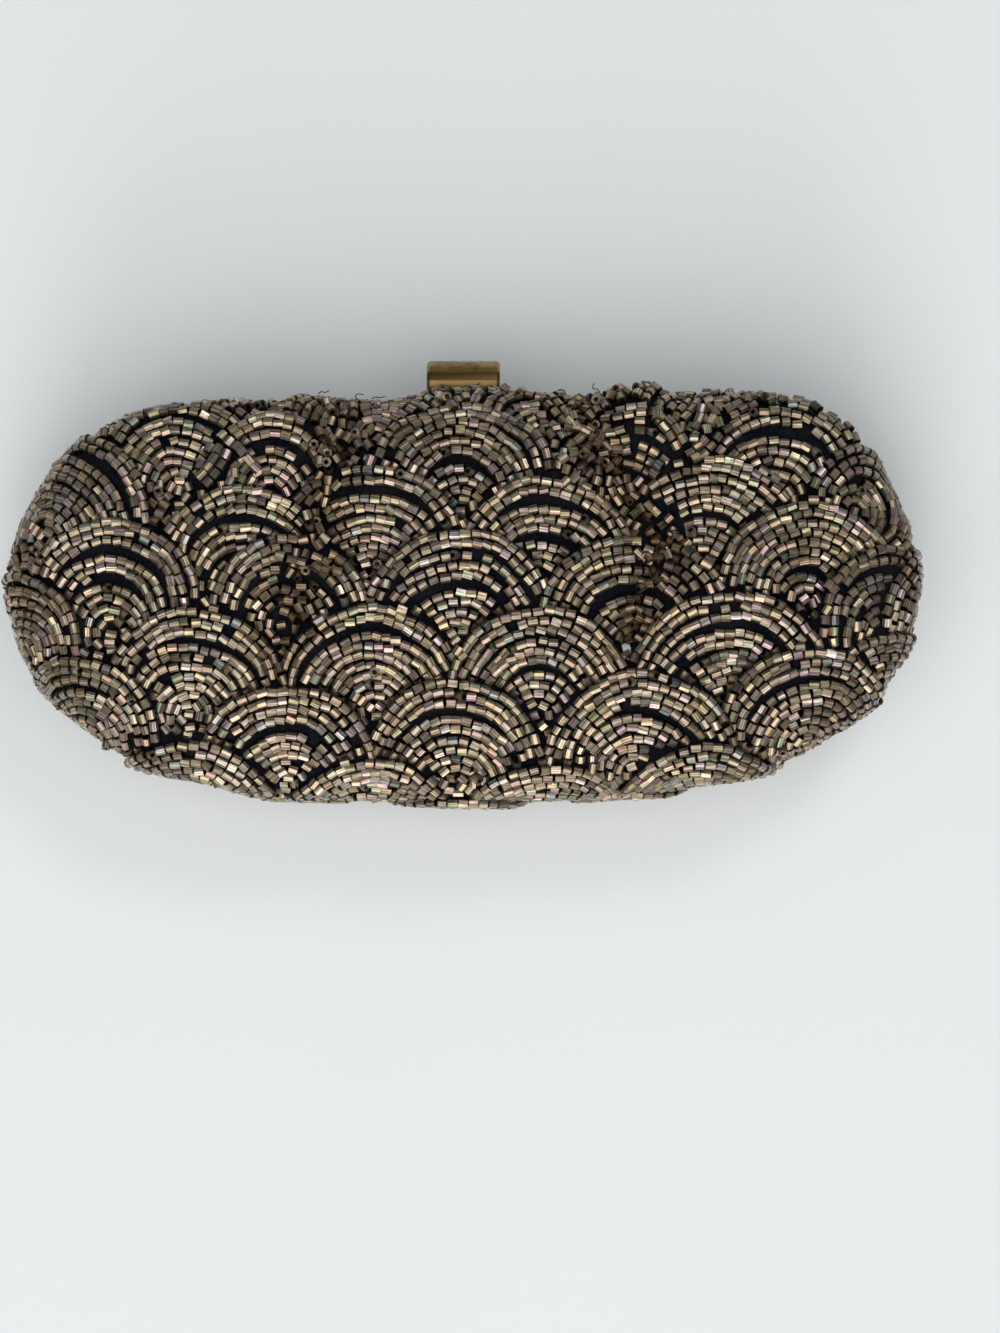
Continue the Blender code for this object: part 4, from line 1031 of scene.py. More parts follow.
class Relief:
    """How far the cloth of one half stands above its even skin."""

    # Pixels of the photograph: the two creases that run down the front
    creases = (
        ((337, 415), (333, 460), (322, 520), (305, 590), (282, 650)),
        ((588, 395), (598, 450), (640, 510), (660, 565), (628, 640)),
    )
    # Pixels of the photograph, radius in pixels and height of broad swellings and hollows
    swellings = (
        (610, 392, 48, 0.00261), (520, 392, 52, 0.00180), (460, 402, 43, 0.00090),
        (380, 412, 43, -0.00120), (838, 418, 61, 0.00300), (150, 770, 61, 0.00180),
        (905, 560, 52, 0.00081), (440, 560, 87, 0.00120), (740, 640, 87, 0.00099),
        (190, 590, 87, 0.00099), (560, 790, 61, -0.00099),
    )
    # Pixels of the photograph, radius in pixels and height of beads heaped up at the edge
    heaps = (
        (438, 398, 26, 0.0018), (478, 397, 30, 0.0024), (520, 394, 26, 0.0014),
        (655, 398, 26, 0.0003), (712, 402, 30, 0.0020), (758, 400, 36, 0.0028),
        (800, 402, 26, 0.0014), (340, 405, 30, 0.0006), (250, 402, 36, 0.0005),
    )
    shallowest = 0.0005
    crease_depth = 0.0026
    crease_width = 0.0055
    crease_side = 0.0120
    crease_side_width = 0.0060
    crease_side_share = 0.25
    rim_lift = 0.0019
    rim_range = (0.15, 1.0)
    rim_zero = 0.25
    tuck = 0.0013
    tuck_width = 0.0026
    wave_height = 0.0004
    wave_length = 0.0560
    wave_shift = 0.0120
    side_sink = 0.0006
    side_range = (0.55, 0.80)
    lowest = 0.0022
    lowest_range = (0.55, 0.72)
    clasp_room = (0.0150, 0.0230)
    clasp_range = (0.65, 0.75)
    crown_end = 0.55
    edge_range = (1.0, 0.90)

    def __init__(self, plan: FanPlan) -> None:
        """Take over a half's fans.

        Args:
            plan: The fans.
        """
        self.plan = plan
        self.map = plan.map
        self.front = self.map.half is Half.FRONT
        self.lines = [self.map.fabric_of(plan_of(line)) for line in self.creases] if self.front else []
        self.bumps = self._placed(self.swellings)
        self.piles = self._placed(self.heaps)

    def _placed(self, mounds: Sequence[tuple]) -> list[tuple]:
        """The front's mounds, each with its place on the fabric."""
        places = self.map.fabric_of(plan_of([mound[:2] for mound in mounds]))
        return list(zip(places, mounds)) if self.front else []

    @staticmethod
    def _raise(lift: Array, fabric: Array, mounds: list[tuple]) -> None:
        """Add mounds to the heights at fabric places."""
        for place, (_, _, radius, height) in mounds:
            away = np.linalg.norm(fabric - place, axis=1) * PIXELS_PER_METRE / radius
            lift += height * np.exp(-(away**2))

    @staticmethod
    def _to_line(fabric: Array, line: Array) -> Array:
        """Distance from fabric places to a crease."""
        nearest = np.full(len(fabric), 1.0)
        for start, end in zip(line, line[1:]):
            way = end - start
            share = np.clip(((fabric - start) @ way) / (way @ way), 0, 1)
            away = np.linalg.norm(fabric - start - share[:, None] * way, axis=1)
            nearest = np.minimum(nearest, away)
        return nearest

    def creased(self, fabric: Array, width: float) -> Array:
        """How deep in a crease each fabric place lies: 1 in its middle, 0 away from it."""
        depth = np.zeros(len(fabric))
        for line in self.lines:
            depth = np.maximum(depth, np.exp(-((self._to_line(fabric, line) / width) ** 2)))
        return depth

    def _raised(self, fabric: Array, owners: Array) -> Array:
        """Height of the fans, waves, creases and swellings at fabric places."""
        centres = self.plan.centres[owners]
        share = np.linalg.norm(fabric - centres, axis=1) / self.plan.radii[owners]
        lift = self.rim_lift * (ease(*self.rim_range, share) - self.rim_zero)
        lift -= self.tuck * np.exp(-np.maximum(self.plan.room(fabric, owners), 0) / self.tuck_width)
        turns = (fabric + (self.wave_shift, 0)) * (2 * math.pi / self.wave_length)
        x, y = turns[:, 0], turns[:, 1]
        lift += self.wave_height * (np.sin(x) * np.sin(y) + np.sin(x - y))
        for line in self.lines:
            away = self._to_line(fabric, line)
            side = (away - self.crease_side) / self.crease_side_width
            lift += self.crease_side_share * self.crease_depth * np.exp(-(side**2))
            lift -= self.crease_depth * np.exp(-((away / self.crease_width) ** 2))
        self._raise(lift, fabric, self.bumps)
        return lift

    def lift(self, fabric: Array, owners: Array) -> Array:
        """Height of the beads above their even line: the frame's relief, and the heaps.

        Args:
            fabric: The fabric places.
            owners: The fan that each belongs to.

        Returns:
            The heights.
        """
        spread = self.map.spread(fabric)
        lift = self._raised(fabric, owners) - self.side_sink * ease(*self.side_range, spread)
        foot = np.minimum(np.abs(fabric[:, 0]), FORM.spine_half)
        held = np.maximum(ease(*self.clasp_room, foot), 1 - ease(*self.clasp_range, spread))
        lift = np.where(fabric[:, 1] > 0, np.minimum(lift, lift * held), lift)
        if not self.front:
            level, height = self.map.level(fabric)
            lift = lift * ease(FORM.crown_share, self.crown_end, level)
            lift = np.minimum(lift, FORM.half_depth - self.map.skin.inset - height)
        least = -self.lowest + (self.lowest - self.shallowest) * ease(*self.lowest_range, spread)
        lift = np.maximum(lift, least)
        self._raise(lift, fabric, self.piles)
        return lift * ease(*self.edge_range, spread)


# Beads


@dataclass
class TubeBead:
    """One short cut tube bead with a bore, its length along X."""

    length: float = 0.00222
    radius: float = 0.00114
    bore: float = 0.00046
    sides: int = 8
    rounding: float = 0.00007

    def model(self) -> Piece:
        """Model the bead once, as by hand."""
        bead = cylinder("bead_pattern", self.sides, self.radius, self.length)
        settle(bead)
        bpy.ops.object.mode_set(mode="EDIT")
        select_faces(bead, faces_along_x)
        depth = (self.radius - self.bore) * math.cos(math.pi / self.sides)
        bpy.ops.mesh.inset(thickness=depth, use_individual=True)
        bpy.ops.transform.resize(value=(1 - 2 * self.rounding / self.length, 1, 1))
        bpy.ops.mesh.bridge_edge_loops()
        bpy.ops.object.mode_set(mode="OBJECT")
        clean_shell(bead)
        return bead


@dataclass
class Strung:
    """Beads of one half: where each lies, which way it runs, and its size."""

    fabric: list[Array] = field(default_factory=list)
    heading: list[Array] = field(default_factory=list)
    owner: list[Array] = field(default_factory=list)
    lift: list[Array] = field(default_factory=list)
    pitch: list[Array] = field(default_factory=list)

    def add(
        self,
        fabric: Array,
        heading: Array,
        owner: int,
        lift: Array | float = 0.0,
        pitch: Array | float = 0.0,
    ) -> None:
        """Add a row of beads."""
        count = len(fabric)
        self.fabric.append(fabric)
        self.heading.append(heading)
        self.owner.append(np.full(count, owner))
        self.lift.append(np.broadcast_to(lift, count))
        self.pitch.append(np.broadcast_to(pitch, count))


@dataclass
class Beadwork:
    """The beads of one half, laid in fans."""

    half: Half
    seeds = {Half.FRONT: 101, Half.REAR: 202}
    step: float = 0.00241
    row_pitch: float = 0.00217
    least: float = 0.00152
    half_body: float = 0.00055
    edge_room: float = 0.00035
    lower_edge: float = 0.965
    upper_edge: float = 0.985
    missing: float = 0.010
    wander: Span = (0.00042, 0.00030)
    slip: float = 0.00006
    stray: float = 0.00011
    sway: float = 0.00014
    skew: float = 0.11
    rim_room: float = 0.00105
    heart: float = 0.0013
    small_row: float = 0.005
    sweeps: Span = (125, 140)
    opening: float = 0.00140
    drop: float = 0.00240
    drop_share: float = 0.3
    lean: Span = (-20, 42)
    wide_odds: Span = (0.80, 0.35)
    wide_gap: Span = (0.9, 1.5)
    thin_gap: Span = (0.15, 0.5)
    shut: float = 0.75
    shut_range: Span = (0.68, 0.92)
    foot_rows: int = 7
    foot_radius: float = 0.004
    foot_sweep: float = 0.75
    fill_rounds: int = 46
    fill_tries: int = 500
    fill_reach: Span = (0.122, 0.07)
    fill_edge: float = 0.950
    gap_room: float = 0.0022
    gap_sweep: float = 80
    bundle_pitch: float = 0.97
    bundle_slip: float = 0.3
    bundle_edge: float = 0.96
    bundle_rise: Span = (0.0001, 0.0006)
    knot_top: float = 392
    knot_bend: float = 0.30
    knot_edge: float = 0.97
    knot_rise: Span = (0.0006, 0.0012)
    knot_tilt: float = 0.24
    steep: Span = (0.7, 1.3)
    steep_odds: Span = (0.5, 0.12)
    upright_odds: float = 0.6
    upright_away: Span = (0.002, 0.008)
    upright_edge: float = 0.95
    upright_room: float = 0.0012
    upright_pitch: Span = (0.9, 1.5)
    upright_rise: float = 0.0009
    tilt: float = 0.09
    slipped: Span = (0.07, 0.015)
    slipped_edge: float = 0.82
    slipped_tilt: float = 0.38
    crease_reach: float = 0.0034
    crease_tilt: float = 0.55
    crease_skew: float = 0.30
    lift_noise: float = 0.00009
    tilt_rise: float = 0.0003
    girth_noise: float = 0.035
    length_noise: float = 0.075
    # Painted shade: how much beads on the steep sides of the dome are spared the glass's underside shade.
    side_shade_lift: float = 0.8
    # Painted shade: how far from a crease beads are darkened, and by how much in each channel.
    crease_shade_reach: float = 0.0060
    crease_shade: Colour = (0.40, 0.47, 0.55)
    tints: tuple[tuple[Colour, float], ...] = (
        ((0.310, 0.247, 0.170), 0.32), ((0.370, 0.302, 0.190), 0.20), ((0.410, 0.347, 0.260), 0.17),
        ((0.255, 0.204, 0.152), 0.16), ((0.350, 0.274, 0.252), 0.08), ((0.310, 0.300, 0.270), 0.04),
        ((0.278, 0.278, 0.190), 0.03),
    )

    def __post_init__(self) -> None:
        """Prepare the half's maps."""
        self.front = self.half is Half.FRONT
        self.map = SkinMap(self.half, FORM.bead_line, not self.front)
        self.plan = FanPlan(self.map)
        self.relief = Relief(self.plan)
        self.random = np.random.default_rng(self.seeds[self.half])
        self.strung = Strung()
        self.kept = [np.zeros((0, 2)) for _ in self.plan.fans]
        self.kept_heading = [np.zeros(0) for _ in self.plan.fans]

    def _warp(self, fabric: Array) -> Array:
        """Let the rows wander a little, as sewn rows do."""
        x, y = fabric[:, 0] * 1000, fabric[:, 1] * 1000
        broad, fine = self.wander
        across = broad * np.sin(y / 3.1 + x / 9.0) + fine * np.sin(x / 4.3 + 1.1)
        along = broad * np.sin(x / 3.6 - y / 8.0 + 0.7) + fine * np.sin(y / 4.9)
        return fabric + np.stack([across, along], 1)

    def _clear(self, fabric: Array, heading: Array, owner: int) -> Array:
        """Which of these beads keep clear of those that their fan already has."""
        others, turned = self.kept[owner], self.kept_heading[owner]
        if not len(others):
            return np.ones(len(fabric), bool)
        mine, theirs = ahead(heading) * self.half_body, ahead(turned) * self.half_body
        nearest = np.full(len(fabric), 1.0)
        for own in (-1, 0, 1):
            for other in (-1, 0, 1):
                between = (fabric + own * mine)[:, None] - (others + other * theirs)[None]
                nearest = np.minimum(nearest, np.linalg.norm(between, axis=2).min(axis=1))
        return nearest > self.least

    def _keep(self, fabric: Array, heading: Array, owner: int) -> None:
        """Note that a fan has these beads."""
        self.kept[owner] = np.vstack([self.kept[owner], fabric])
        self.kept_heading[owner] = np.concatenate([self.kept_heading[owner], heading])

    def _lay(self, fabric: Array, heading: Array, owner: int) -> None:
        """Lay those beads of a row that fit."""
        if not len(fabric):
            return
        owners = np.full(len(fabric), owner)
        limit = np.where(fabric[:, 1] < 0, self.lower_edge, self.upper_edge)
        fits = (self.map.spread(fabric) < limit) & (self.plan.room(fabric, owners) > self.edge_room)
        fits &= self.random.random(len(fabric)) > self.missing
        fabric, heading = fabric[fits], heading[fits]
        if not len(fabric):
            return
        clear = self._clear(fabric, heading, owner)
        fabric, heading = fabric[clear], heading[clear]
        self.strung.add(fabric, heading, owner)
        self._keep(fabric, heading, owner)

    def _arc(self, fan: Fan, owner: int, middle: Array, radius: float, spread: float) -> None:
        """Lay one row of a fan.

        Args:
            fan: The fan.
            owner: Its number.
            middle: The row's centre on the fabric.
            radius: The row's radius.
            spread: Half the row's sweep, in radians from the fan's top.
        """
        turn = math.radians(fan.turn) + math.pi / 2
        step = self.step / max(radius, 0.0009)
        start = -spread + self.random.uniform(0, step)
        angle = np.arange(start, spread, step)
        angle = angle + self.random.normal(0, self.slip, len(angle)) / max(radius, 0.002) + turn
        wave = radius + self.random.normal(0, self.stray, len(angle))
        wave += self.sway * np.sin(angle * 3 + self.random.uniform(0, 6.3))
        fabric = middle + wave[:, None] * ahead(angle)
        heading = angle + math.pi / 2 + self.random.normal(0, self.skew, len(angle))
        self._lay(self._warp(fabric), heading, owner)

    def _gap(self, opened: bool, shut: float) -> tuple[bool, float]:
        """Whether the next crescent of a fan is a wide one, and its width as a share of the full one."""
        wide = self.random.random() < self.wide_odds[opened]
        return wide, self.random.uniform(*(self.wide_gap if wide else self.thin_gap)) * shut

    def _fan(self, owner: int) -> None:
        """Lay all rows of one fan, from its rim inwards."""
        fan = self.plan.fans[owner]
        gaps = sorted(fan.crescents, reverse=True)
        top = math.radians(fan.turn) + math.pi / 2
        upwards = np.array([math.cos(top), math.sin(top)])
        middle = np.array(fan.centre)
        edge = self.map.spread(middle[None])[0] if fan.centre[1] < 0 and self.front else 0.0
        shut = 1.0 - self.shut * float(ease(*self.shut_range, np.array([edge]))[0])
        radius = fan.radius - self.rim_room
        opened = False
        while radius > self.heart:
            spread = math.radians(self.sweeps[radius <= self.small_row])
            self._arc(fan, owner, middle, radius, spread)
            height = radius + float((middle - fan.centre) @ upwards)
            radius -= self.row_pitch
            if gaps and height < gaps[0] + self.row_pitch + self.opening / 2:
                lean = top - math.radians(self.random.uniform(*self.lean))
                wide, width = self._gap(opened, shut)
                opened = opened or wide
                drop = min(self.drop, self.drop_share * radius) * min(width, 1.0)
                middle = middle - drop * np.array([math.cos(lean), math.sin(lean)])
                radius += drop - self.opening * width
                gaps.pop(0)
        self._lay(self._warp(middle[None]), self.random.uniform(0, 6, 1), owner)
        for row in range(1, self.foot_rows + 1):
            low = middle - upwards * (0.003 + row * self.row_pitch)
            self._arc(fan, owner, low, self.foot_radius, self.foot_sweep)

    def _fill(self) -> None:
        """Fill what is left bare, apart from the crescents."""
        reach = np.array(self.fill_reach)
        for _ in range(self.fill_rounds):
            fabric = self.random.uniform(-reach, reach, (self.fill_tries, 2))
            owners = self.plan.owner(fabric)
            found = (owners >= 0) & (self.map.spread(fabric) < self.fill_edge)
            for place, owner in zip(fabric[found], owners[found]):
                fan = self.plan.fans[owner]
                way = place - np.array(fan.centre)
                away = float(np.hypot(*way))
                top = math.radians(fan.turn) + math.pi / 2
                angle = math.atan2(way[1], way[0])
                from_top = abs((angle - top + math.pi) % (2 * math.pi) - math.pi)
                open_gap = any(abs(away - gap) < self.gap_room for gap in fan.crescents)
                if open_gap and from_top < math.radians(self.gap_sweep):
                    continue
                self._lay(place[None], np.array([angle + math.pi / 2]), int(owner))

    def _bundle(self, place: Array, angle: float, count: int, rows: int, bend: float) -> None:
        """Lay a few short strings side by side that have slipped out of line with their fan.

        Args:
            place: Their middle on the fabric.
            angle: The way they run.
            count: Beads on each string.
            rows: How many strings lie side by side.
            bend: How far they turn from bead to bead.
        """
        headings = angle + bend * (np.arange(count) - (count - 1) / 2)
        along, across = ahead(headings), aside(headings)
        steps = np.cumsum(along, axis=0) * self.step
        steps -= steps.mean(axis=0)
        places = []
        for row in range(rows):
            away = (row - (rows - 1) / 2) * self.row_pitch * self.bundle_pitch
            slip = self.random.uniform(-self.bundle_slip, self.bundle_slip) * self.step
            places.append(place + steps + across * away + along * slip)
        fabric, heading = np.vstack(places), np.tile(headings, rows)
        owners = self.plan.owner(fabric)
        fits = (owners >= 0) & (self.map.spread(fabric) < self.bundle_edge)
        fits &= self._clear(fabric, heading, 0)
        fabric, heading, owners = fabric[fits], heading[fits], owners[fits]
        rise = self.random.uniform(*self.bundle_rise)
        for bead, way, owner in zip(fabric, heading, owners):
            self.strung.add(bead[None], np.array([way]), int(owner), rise)
        for owner in range(len(self.plan.fans)):
            self._keep(fabric, heading, owner)

    def _bundles(self) -> None:
        """Lay the bundles of strings that tumble over each other between the creases and the edge."""
        # Pixels of the photograph, degrees, beads on a string, strings and bend
        bundles = (
            (624, 421, 4, 4, 2, 0.06), (612, 446, 2, 3, 3, 0.10), (643, 463, -28, 4, 3, -0.12),
            (668, 437, -48, 4, 2, -0.08), (650, 396, 24, 4, 2, -0.25), (672, 398, -10, 4, 2, -0.20),
            (620, 491, -72, 3, 3, 0.10), (573, 399, 38, 4, 2, -0.10), (556, 412, -62, 4, 2, 0.10),
            (600, 398, -8, 3, 1, 0.40), (538, 395, -24, 4, 2, -0.10), (505, 391, 8, 4, 1, -0.15),
            (468, 395, 18, 4, 2, -0.10), (440, 399, -12, 3, 1, 0.20), (690, 408, 66, 4, 2, 0.10),
            (708, 420, -58, 4, 2, -0.12), (700, 452, 40, 4, 2, 0.15), (596, 470, 84, 4, 1, 0.12),
            (640, 505, -60, 4, 2, 0.10), (655, 525, 30, 3, 2, 0.20), (664, 548, 62, 4, 1, 0.12),
            (650, 560, -30, 3, 2, 0.20), (738, 404, 12, 4, 2, -0.20), (800, 410, -34, 4, 2, -0.12),
            (836, 424, -50, 4, 2, -0.10), (348, 424, 72, 4, 2, 0.14), (334, 448, -58, 4, 2, 0.12),
            (330, 486, 80, 4, 1, 0.10), (318, 530, -70, 4, 2, 0.12), (300, 566, 62, 3, 2, 0.10),
            (218, 470, 58, 4, 2, 0.12),
        )
        for x, y, degrees, count, rows, bend in bundles:
            place = self.map.fabric_of(plan_of((x, y)))[0]
            angle = math.radians(degrees) + self.random.normal(0, 0.08)
            self._bundle(place, angle, count, rows, bend)

    def _tumble(self) -> None:
        """Add the loose beads that stand up along the creases and the upper edge."""
        # Pixels of the photograph, spread in pixels and number of short strings
        knots = (
            (600, 404, 34, 4), (640, 396, 30, 3), (560, 398, 26, 3), (584, 436, 12, 6),
            (588, 462, 12, 4), (655, 535, 16, 4), (660, 570, 16, 3), (500, 394, 30, 4),
            (450, 396, 22, 2), (700, 412, 30, 3), (700, 445, 26, 2), (760, 404, 34, 4),
            (820, 424, 26, 3), (345, 430, 20, 4), (330, 470, 14, 3), (318, 560, 14, 3),
            (250, 470, 20, 2),
        )
        for x, y, spread, loops in knots:
            for _ in range(loops):
                pixel = self.random.normal((x, y), spread / 2)
                pixel[1] = max(pixel[1], self.knot_top)
                place = self.map.fabric_of(plan_of(pixel))[0]
                count = int(self.random.integers(1, 4))
                angle = self.random.uniform(0, 2 * math.pi)
                bend = self.random.normal(0, self.knot_bend)
                height = self.random.uniform(*self.knot_rise)
                headings = angle + bend * np.arange(count)
                fabric = place + np.cumsum(ahead(headings), axis=0) * self.step
                owners = self.plan.owner(fabric)
                fits = (owners >= 0) & (self.map.spread(fabric) < self.knot_edge)
                stands = self.random.random(count) < self.steep_odds[count > 1]
                pitch = self.random.normal(0, self.knot_tilt, count)
                pitch = pitch + stands * self.random.uniform(*self.steep, count)
                for i in np.nonzero(fits)[0]:
                    bead = slice(i, i + 1)
                    self.strung.add(fabric[bead], headings[bead], int(owners[i]), height, float(pitch[i]))

    def _upright(self) -> None:
        """Stand a few beads on end in the hearts of the fans."""
        chosen = self.random.random(len(self.plan.fans)) < self.upright_odds
        for owner in np.nonzero(chosen)[0]:
            fan = self.plan.fans[owner]
            angle = self.random.uniform(0, 2 * math.pi)
            away = self.random.uniform(*self.upright_away)
            fabric = np.array([fan.centre]) + np.array([math.cos(angle), math.sin(angle)]) * away
            room = self.plan.room(fabric, np.array([owner]))[0]
            if self.map.spread(fabric)[0] > self.upright_edge or room < self.upright_room:
                continue
            pitch = self.random.uniform(*self.upright_pitch)
            self.strung.add(fabric, np.array([angle]), int(owner), self.upright_rise, pitch)

    def _loosened(self, fabric: Array) -> tuple[Array, Array]:
        """How far each bead leans, and how far it is turned from its row."""
        count = len(fabric)
        pitch = np.concatenate(self.strung.pitch) + self.random.normal(0, self.tilt, count)
        odds = self.slipped[not self.front]
        loose = (self.random.random(count) < odds) & (self.map.spread(fabric) < self.slipped_edge)
        pitch = pitch + loose * self.random.normal(0, self.slipped_tilt, count)
        depth = self.relief.creased(fabric, self.crease_reach)
        pitch = pitch + depth * self.random.normal(0, self.crease_tilt, count)
        return pitch, depth * self.random.normal(0, self.crease_skew, count)

    def frames(self) -> tuple[Array, Array, Array]:
        """Middle of each bead, its three axes scaled to its size, and the way up from the cloth."""
        fabric = np.vstack(self.strung.fabric)
        owners = np.concatenate(self.strung.owner)
        count = len(fabric)
        pitch, skewed = self._loosened(fabric)
        heading = np.concatenate(self.strung.heading) + skewed
        small = 0.0004

        def point(shift: Array) -> Array:
            """Points of the lifted cloth at a shift from the beads."""
            place = fabric + shift
            return self.map.place(place, self.relief.lift(place, owners))

        along, across = ahead(heading) * small, aside(heading) * small
        forward = point(along) - point(-along)
        side = point(across) - point(-across)
        forward /= np.linalg.norm(forward, axis=1, keepdims=True)
        normal = np.cross(forward, side) * self.half.value
        normal /= np.linalg.norm(normal, axis=1, keepdims=True)
        height = np.concatenate(self.strung.lift) + self.random.normal(0, self.lift_noise, count)
        height = height + self.tilt_rise * np.abs(pitch)
        middle = point(np.zeros(2)) + normal * height[:, None]
        cos, sin = np.cos(pitch)[:, None], np.sin(pitch)[:, None]
        tilted = forward * cos + normal * sin
        upright = normal * cos - forward * sin
        third = np.cross(upright, tilted)
        turn = self.random.uniform(-math.pi, math.pi, count)
        girth = self.random.normal(1.0, self.girth_noise, count)
        long = self.random.normal(1.0, self.length_noise, count).clip(0.8, 1.25)
        cos, sin = (np.cos(turn) * girth)[:, None], (np.sin(turn) * girth)[:, None]
        axes = [tilted * long[:, None], third * cos + upright * sin, upright * cos - third * sin]
        return middle, np.stack(axes, axis=1), normal

    def build(self, pattern: Piece, material: Material) -> None:
        """String the beads into the half's two pieces.

        Args:
            pattern: The bead that is copied.
            material: The bead glass.
        """
        if self.front:
            self._bundles()
        for owner in reversed(range(len(self.plan.fans))):
            self._fan(owner)
        self._fill()
        if self.front:
            self._upright()
            self._tumble()
        middle, axes, normal = self.frames()
        # How deep in a crease each bead lies, for the painted shade that darkens beads there.
        creased = self.relief.creased(np.vstack(self.strung.fabric), self.crease_shade_reach)
        prefix = self.half.prefix
        LOG.info("%s half: %d beads", prefix, len(middle))
        order = np.argsort(middle[:, 1])
        parts = {"lower": order[: len(order) // 2], "upper": order[len(order) // 2 :]}
        for label, chosen in parts.items():
            placed = middle[chosen], axes[chosen], normal[chosen], creased[chosen]
            piece = self._copies(f"{prefix}_beads_{label}", pattern, *placed)
            dress(piece, material, "beads", self.half.body, f"{prefix}_beadwork")

    def _copies(
        self,
        name: str,
        pattern: Piece,
        middle: Array,
        axes: Array,
        normal: Array,
        creased: Array,
    ) -> Piece:
        """Copy the pattern bead to every place, as one mesh with its own tints and with the marks
        that the glass paints shade by.

        Args:
            name: The piece's name.
            pattern: The bead.
            middle: The middle of each copy.
            axes: The three axes of each copy.
            normal: The way up from the cloth at each copy.
            creased: How deep in a crease each copy lies.

        Returns:
            The piece.
        """
        local = np.array([vertex.co for vertex in pattern.data.vertices])
        count, each = len(middle), len(local)
        points = middle[:, None] + np.einsum("vk,nkx->nvx", local, axes)
        turned = 1 if self.front else -1
        rings = [np.array(face.vertices)[::turned] for face in pattern.data.polygons]
        sizes = np.tile([len(ring) for ring in rings], count)
        loops = (np.concatenate(rings)[None] + (np.arange(count) * each)[:, None]).ravel()
        mesh = bpy.data.meshes.new(name)
        mesh.vertices.add(count * each)
        mesh.vertices.foreach_set("co", points.astype(np.float32).ravel())
        mesh.loops.add(len(loops))
        mesh.loops.foreach_set("vertex_index", loops.astype(np.int32))
        mesh.polygons.add(len(sizes))
        starts = np.concatenate([[0], np.cumsum(sizes)[:-1]])
        mesh.polygons.foreach_set("loop_start", starts.astype(np.int32))
        mesh.update(calc_edges=True)
        mesh.shade_flat()
        # The height carries painted shade: points low on a bead, near the cloth, are darkened by the
        # glass, and beads on steep sides are spared part of it.
        height = np.einsum("nvx,nx->nv", points - middle[:, None], normal) / np.abs(local[:, 1]).max()
        height += self.side_shade_lift * (1 - np.abs(normal[:, 2:]))
        mark(mesh, "bead_height", height.ravel())
        self._tint(mesh, creased, each)
        radius = np.hypot(local[:, 1], local[:, 2])
        # Painted shade: the bore's points are marked for the glass to darken.
        mark(mesh, "bead_bore", np.tile(radius < radius.max() * 0.6, count))
        places = np.vstack([self._unrolled(local, ring) for ring in rings])
        layer = mesh.uv_layers.new(name="bead_uv")
        layer.uv.foreach_set("vector", np.tile(places, (count, 1)).astype(np.float32).ravel())
        return linked(name, mesh)

    def _tint(self, mesh: bpy.types.Mesh, creased: Array, each: int) -> None:
        """Give each bead its tint, darkened as painted shade where it lies in a crease, and its seed.

        Args:
            mesh: The mesh of the copies.
            creased: How deep in a crease each copy lies.
            each: The number of points of one bead.
        """
        count = len(creased)
        colours = np.array([tint for tint, _ in self.tints])
        weights = np.array([weight for _, weight in self.tints])
        chosen = colours[self.random.choice(len(colours), count, p=weights / weights.sum())]
        chosen = chosen * self.random.normal(1.0, 0.10, (count, 1)).clip(0.7, 1.3)
        # Painted shade: beads in the creases are darkened.
        chosen = chosen * (1 - creased[:, None] * np.array(self.crease_shade))
        mark(mesh, "bead_tint_and_crease_shade", np.column_stack([chosen, np.ones(count)]).repeat(each, axis=0))
        mark(mesh, "bead_seed", self.random.random(count).repeat(each))

    @staticmethod
    def _unrolled(local: Array, ring: Array) -> Array:
        """Places of a face's corners on the unrolled bead: turns round it, and share of its length."""
        turns = np.arctan2(local[ring, 2], local[ring, 1]) / (2 * math.pi)
        middle = local[ring].mean(axis=0)
        centre = math.atan2(middle[2], middle[1]) / (2 * math.pi)
        turns = centre + (turns - centre + 0.5) % 1.0 - 0.5
        return np.column_stack([turns, local[ring, 0] / np.ptp(local[:, 0])]) + 0.5


# Cloth and padding


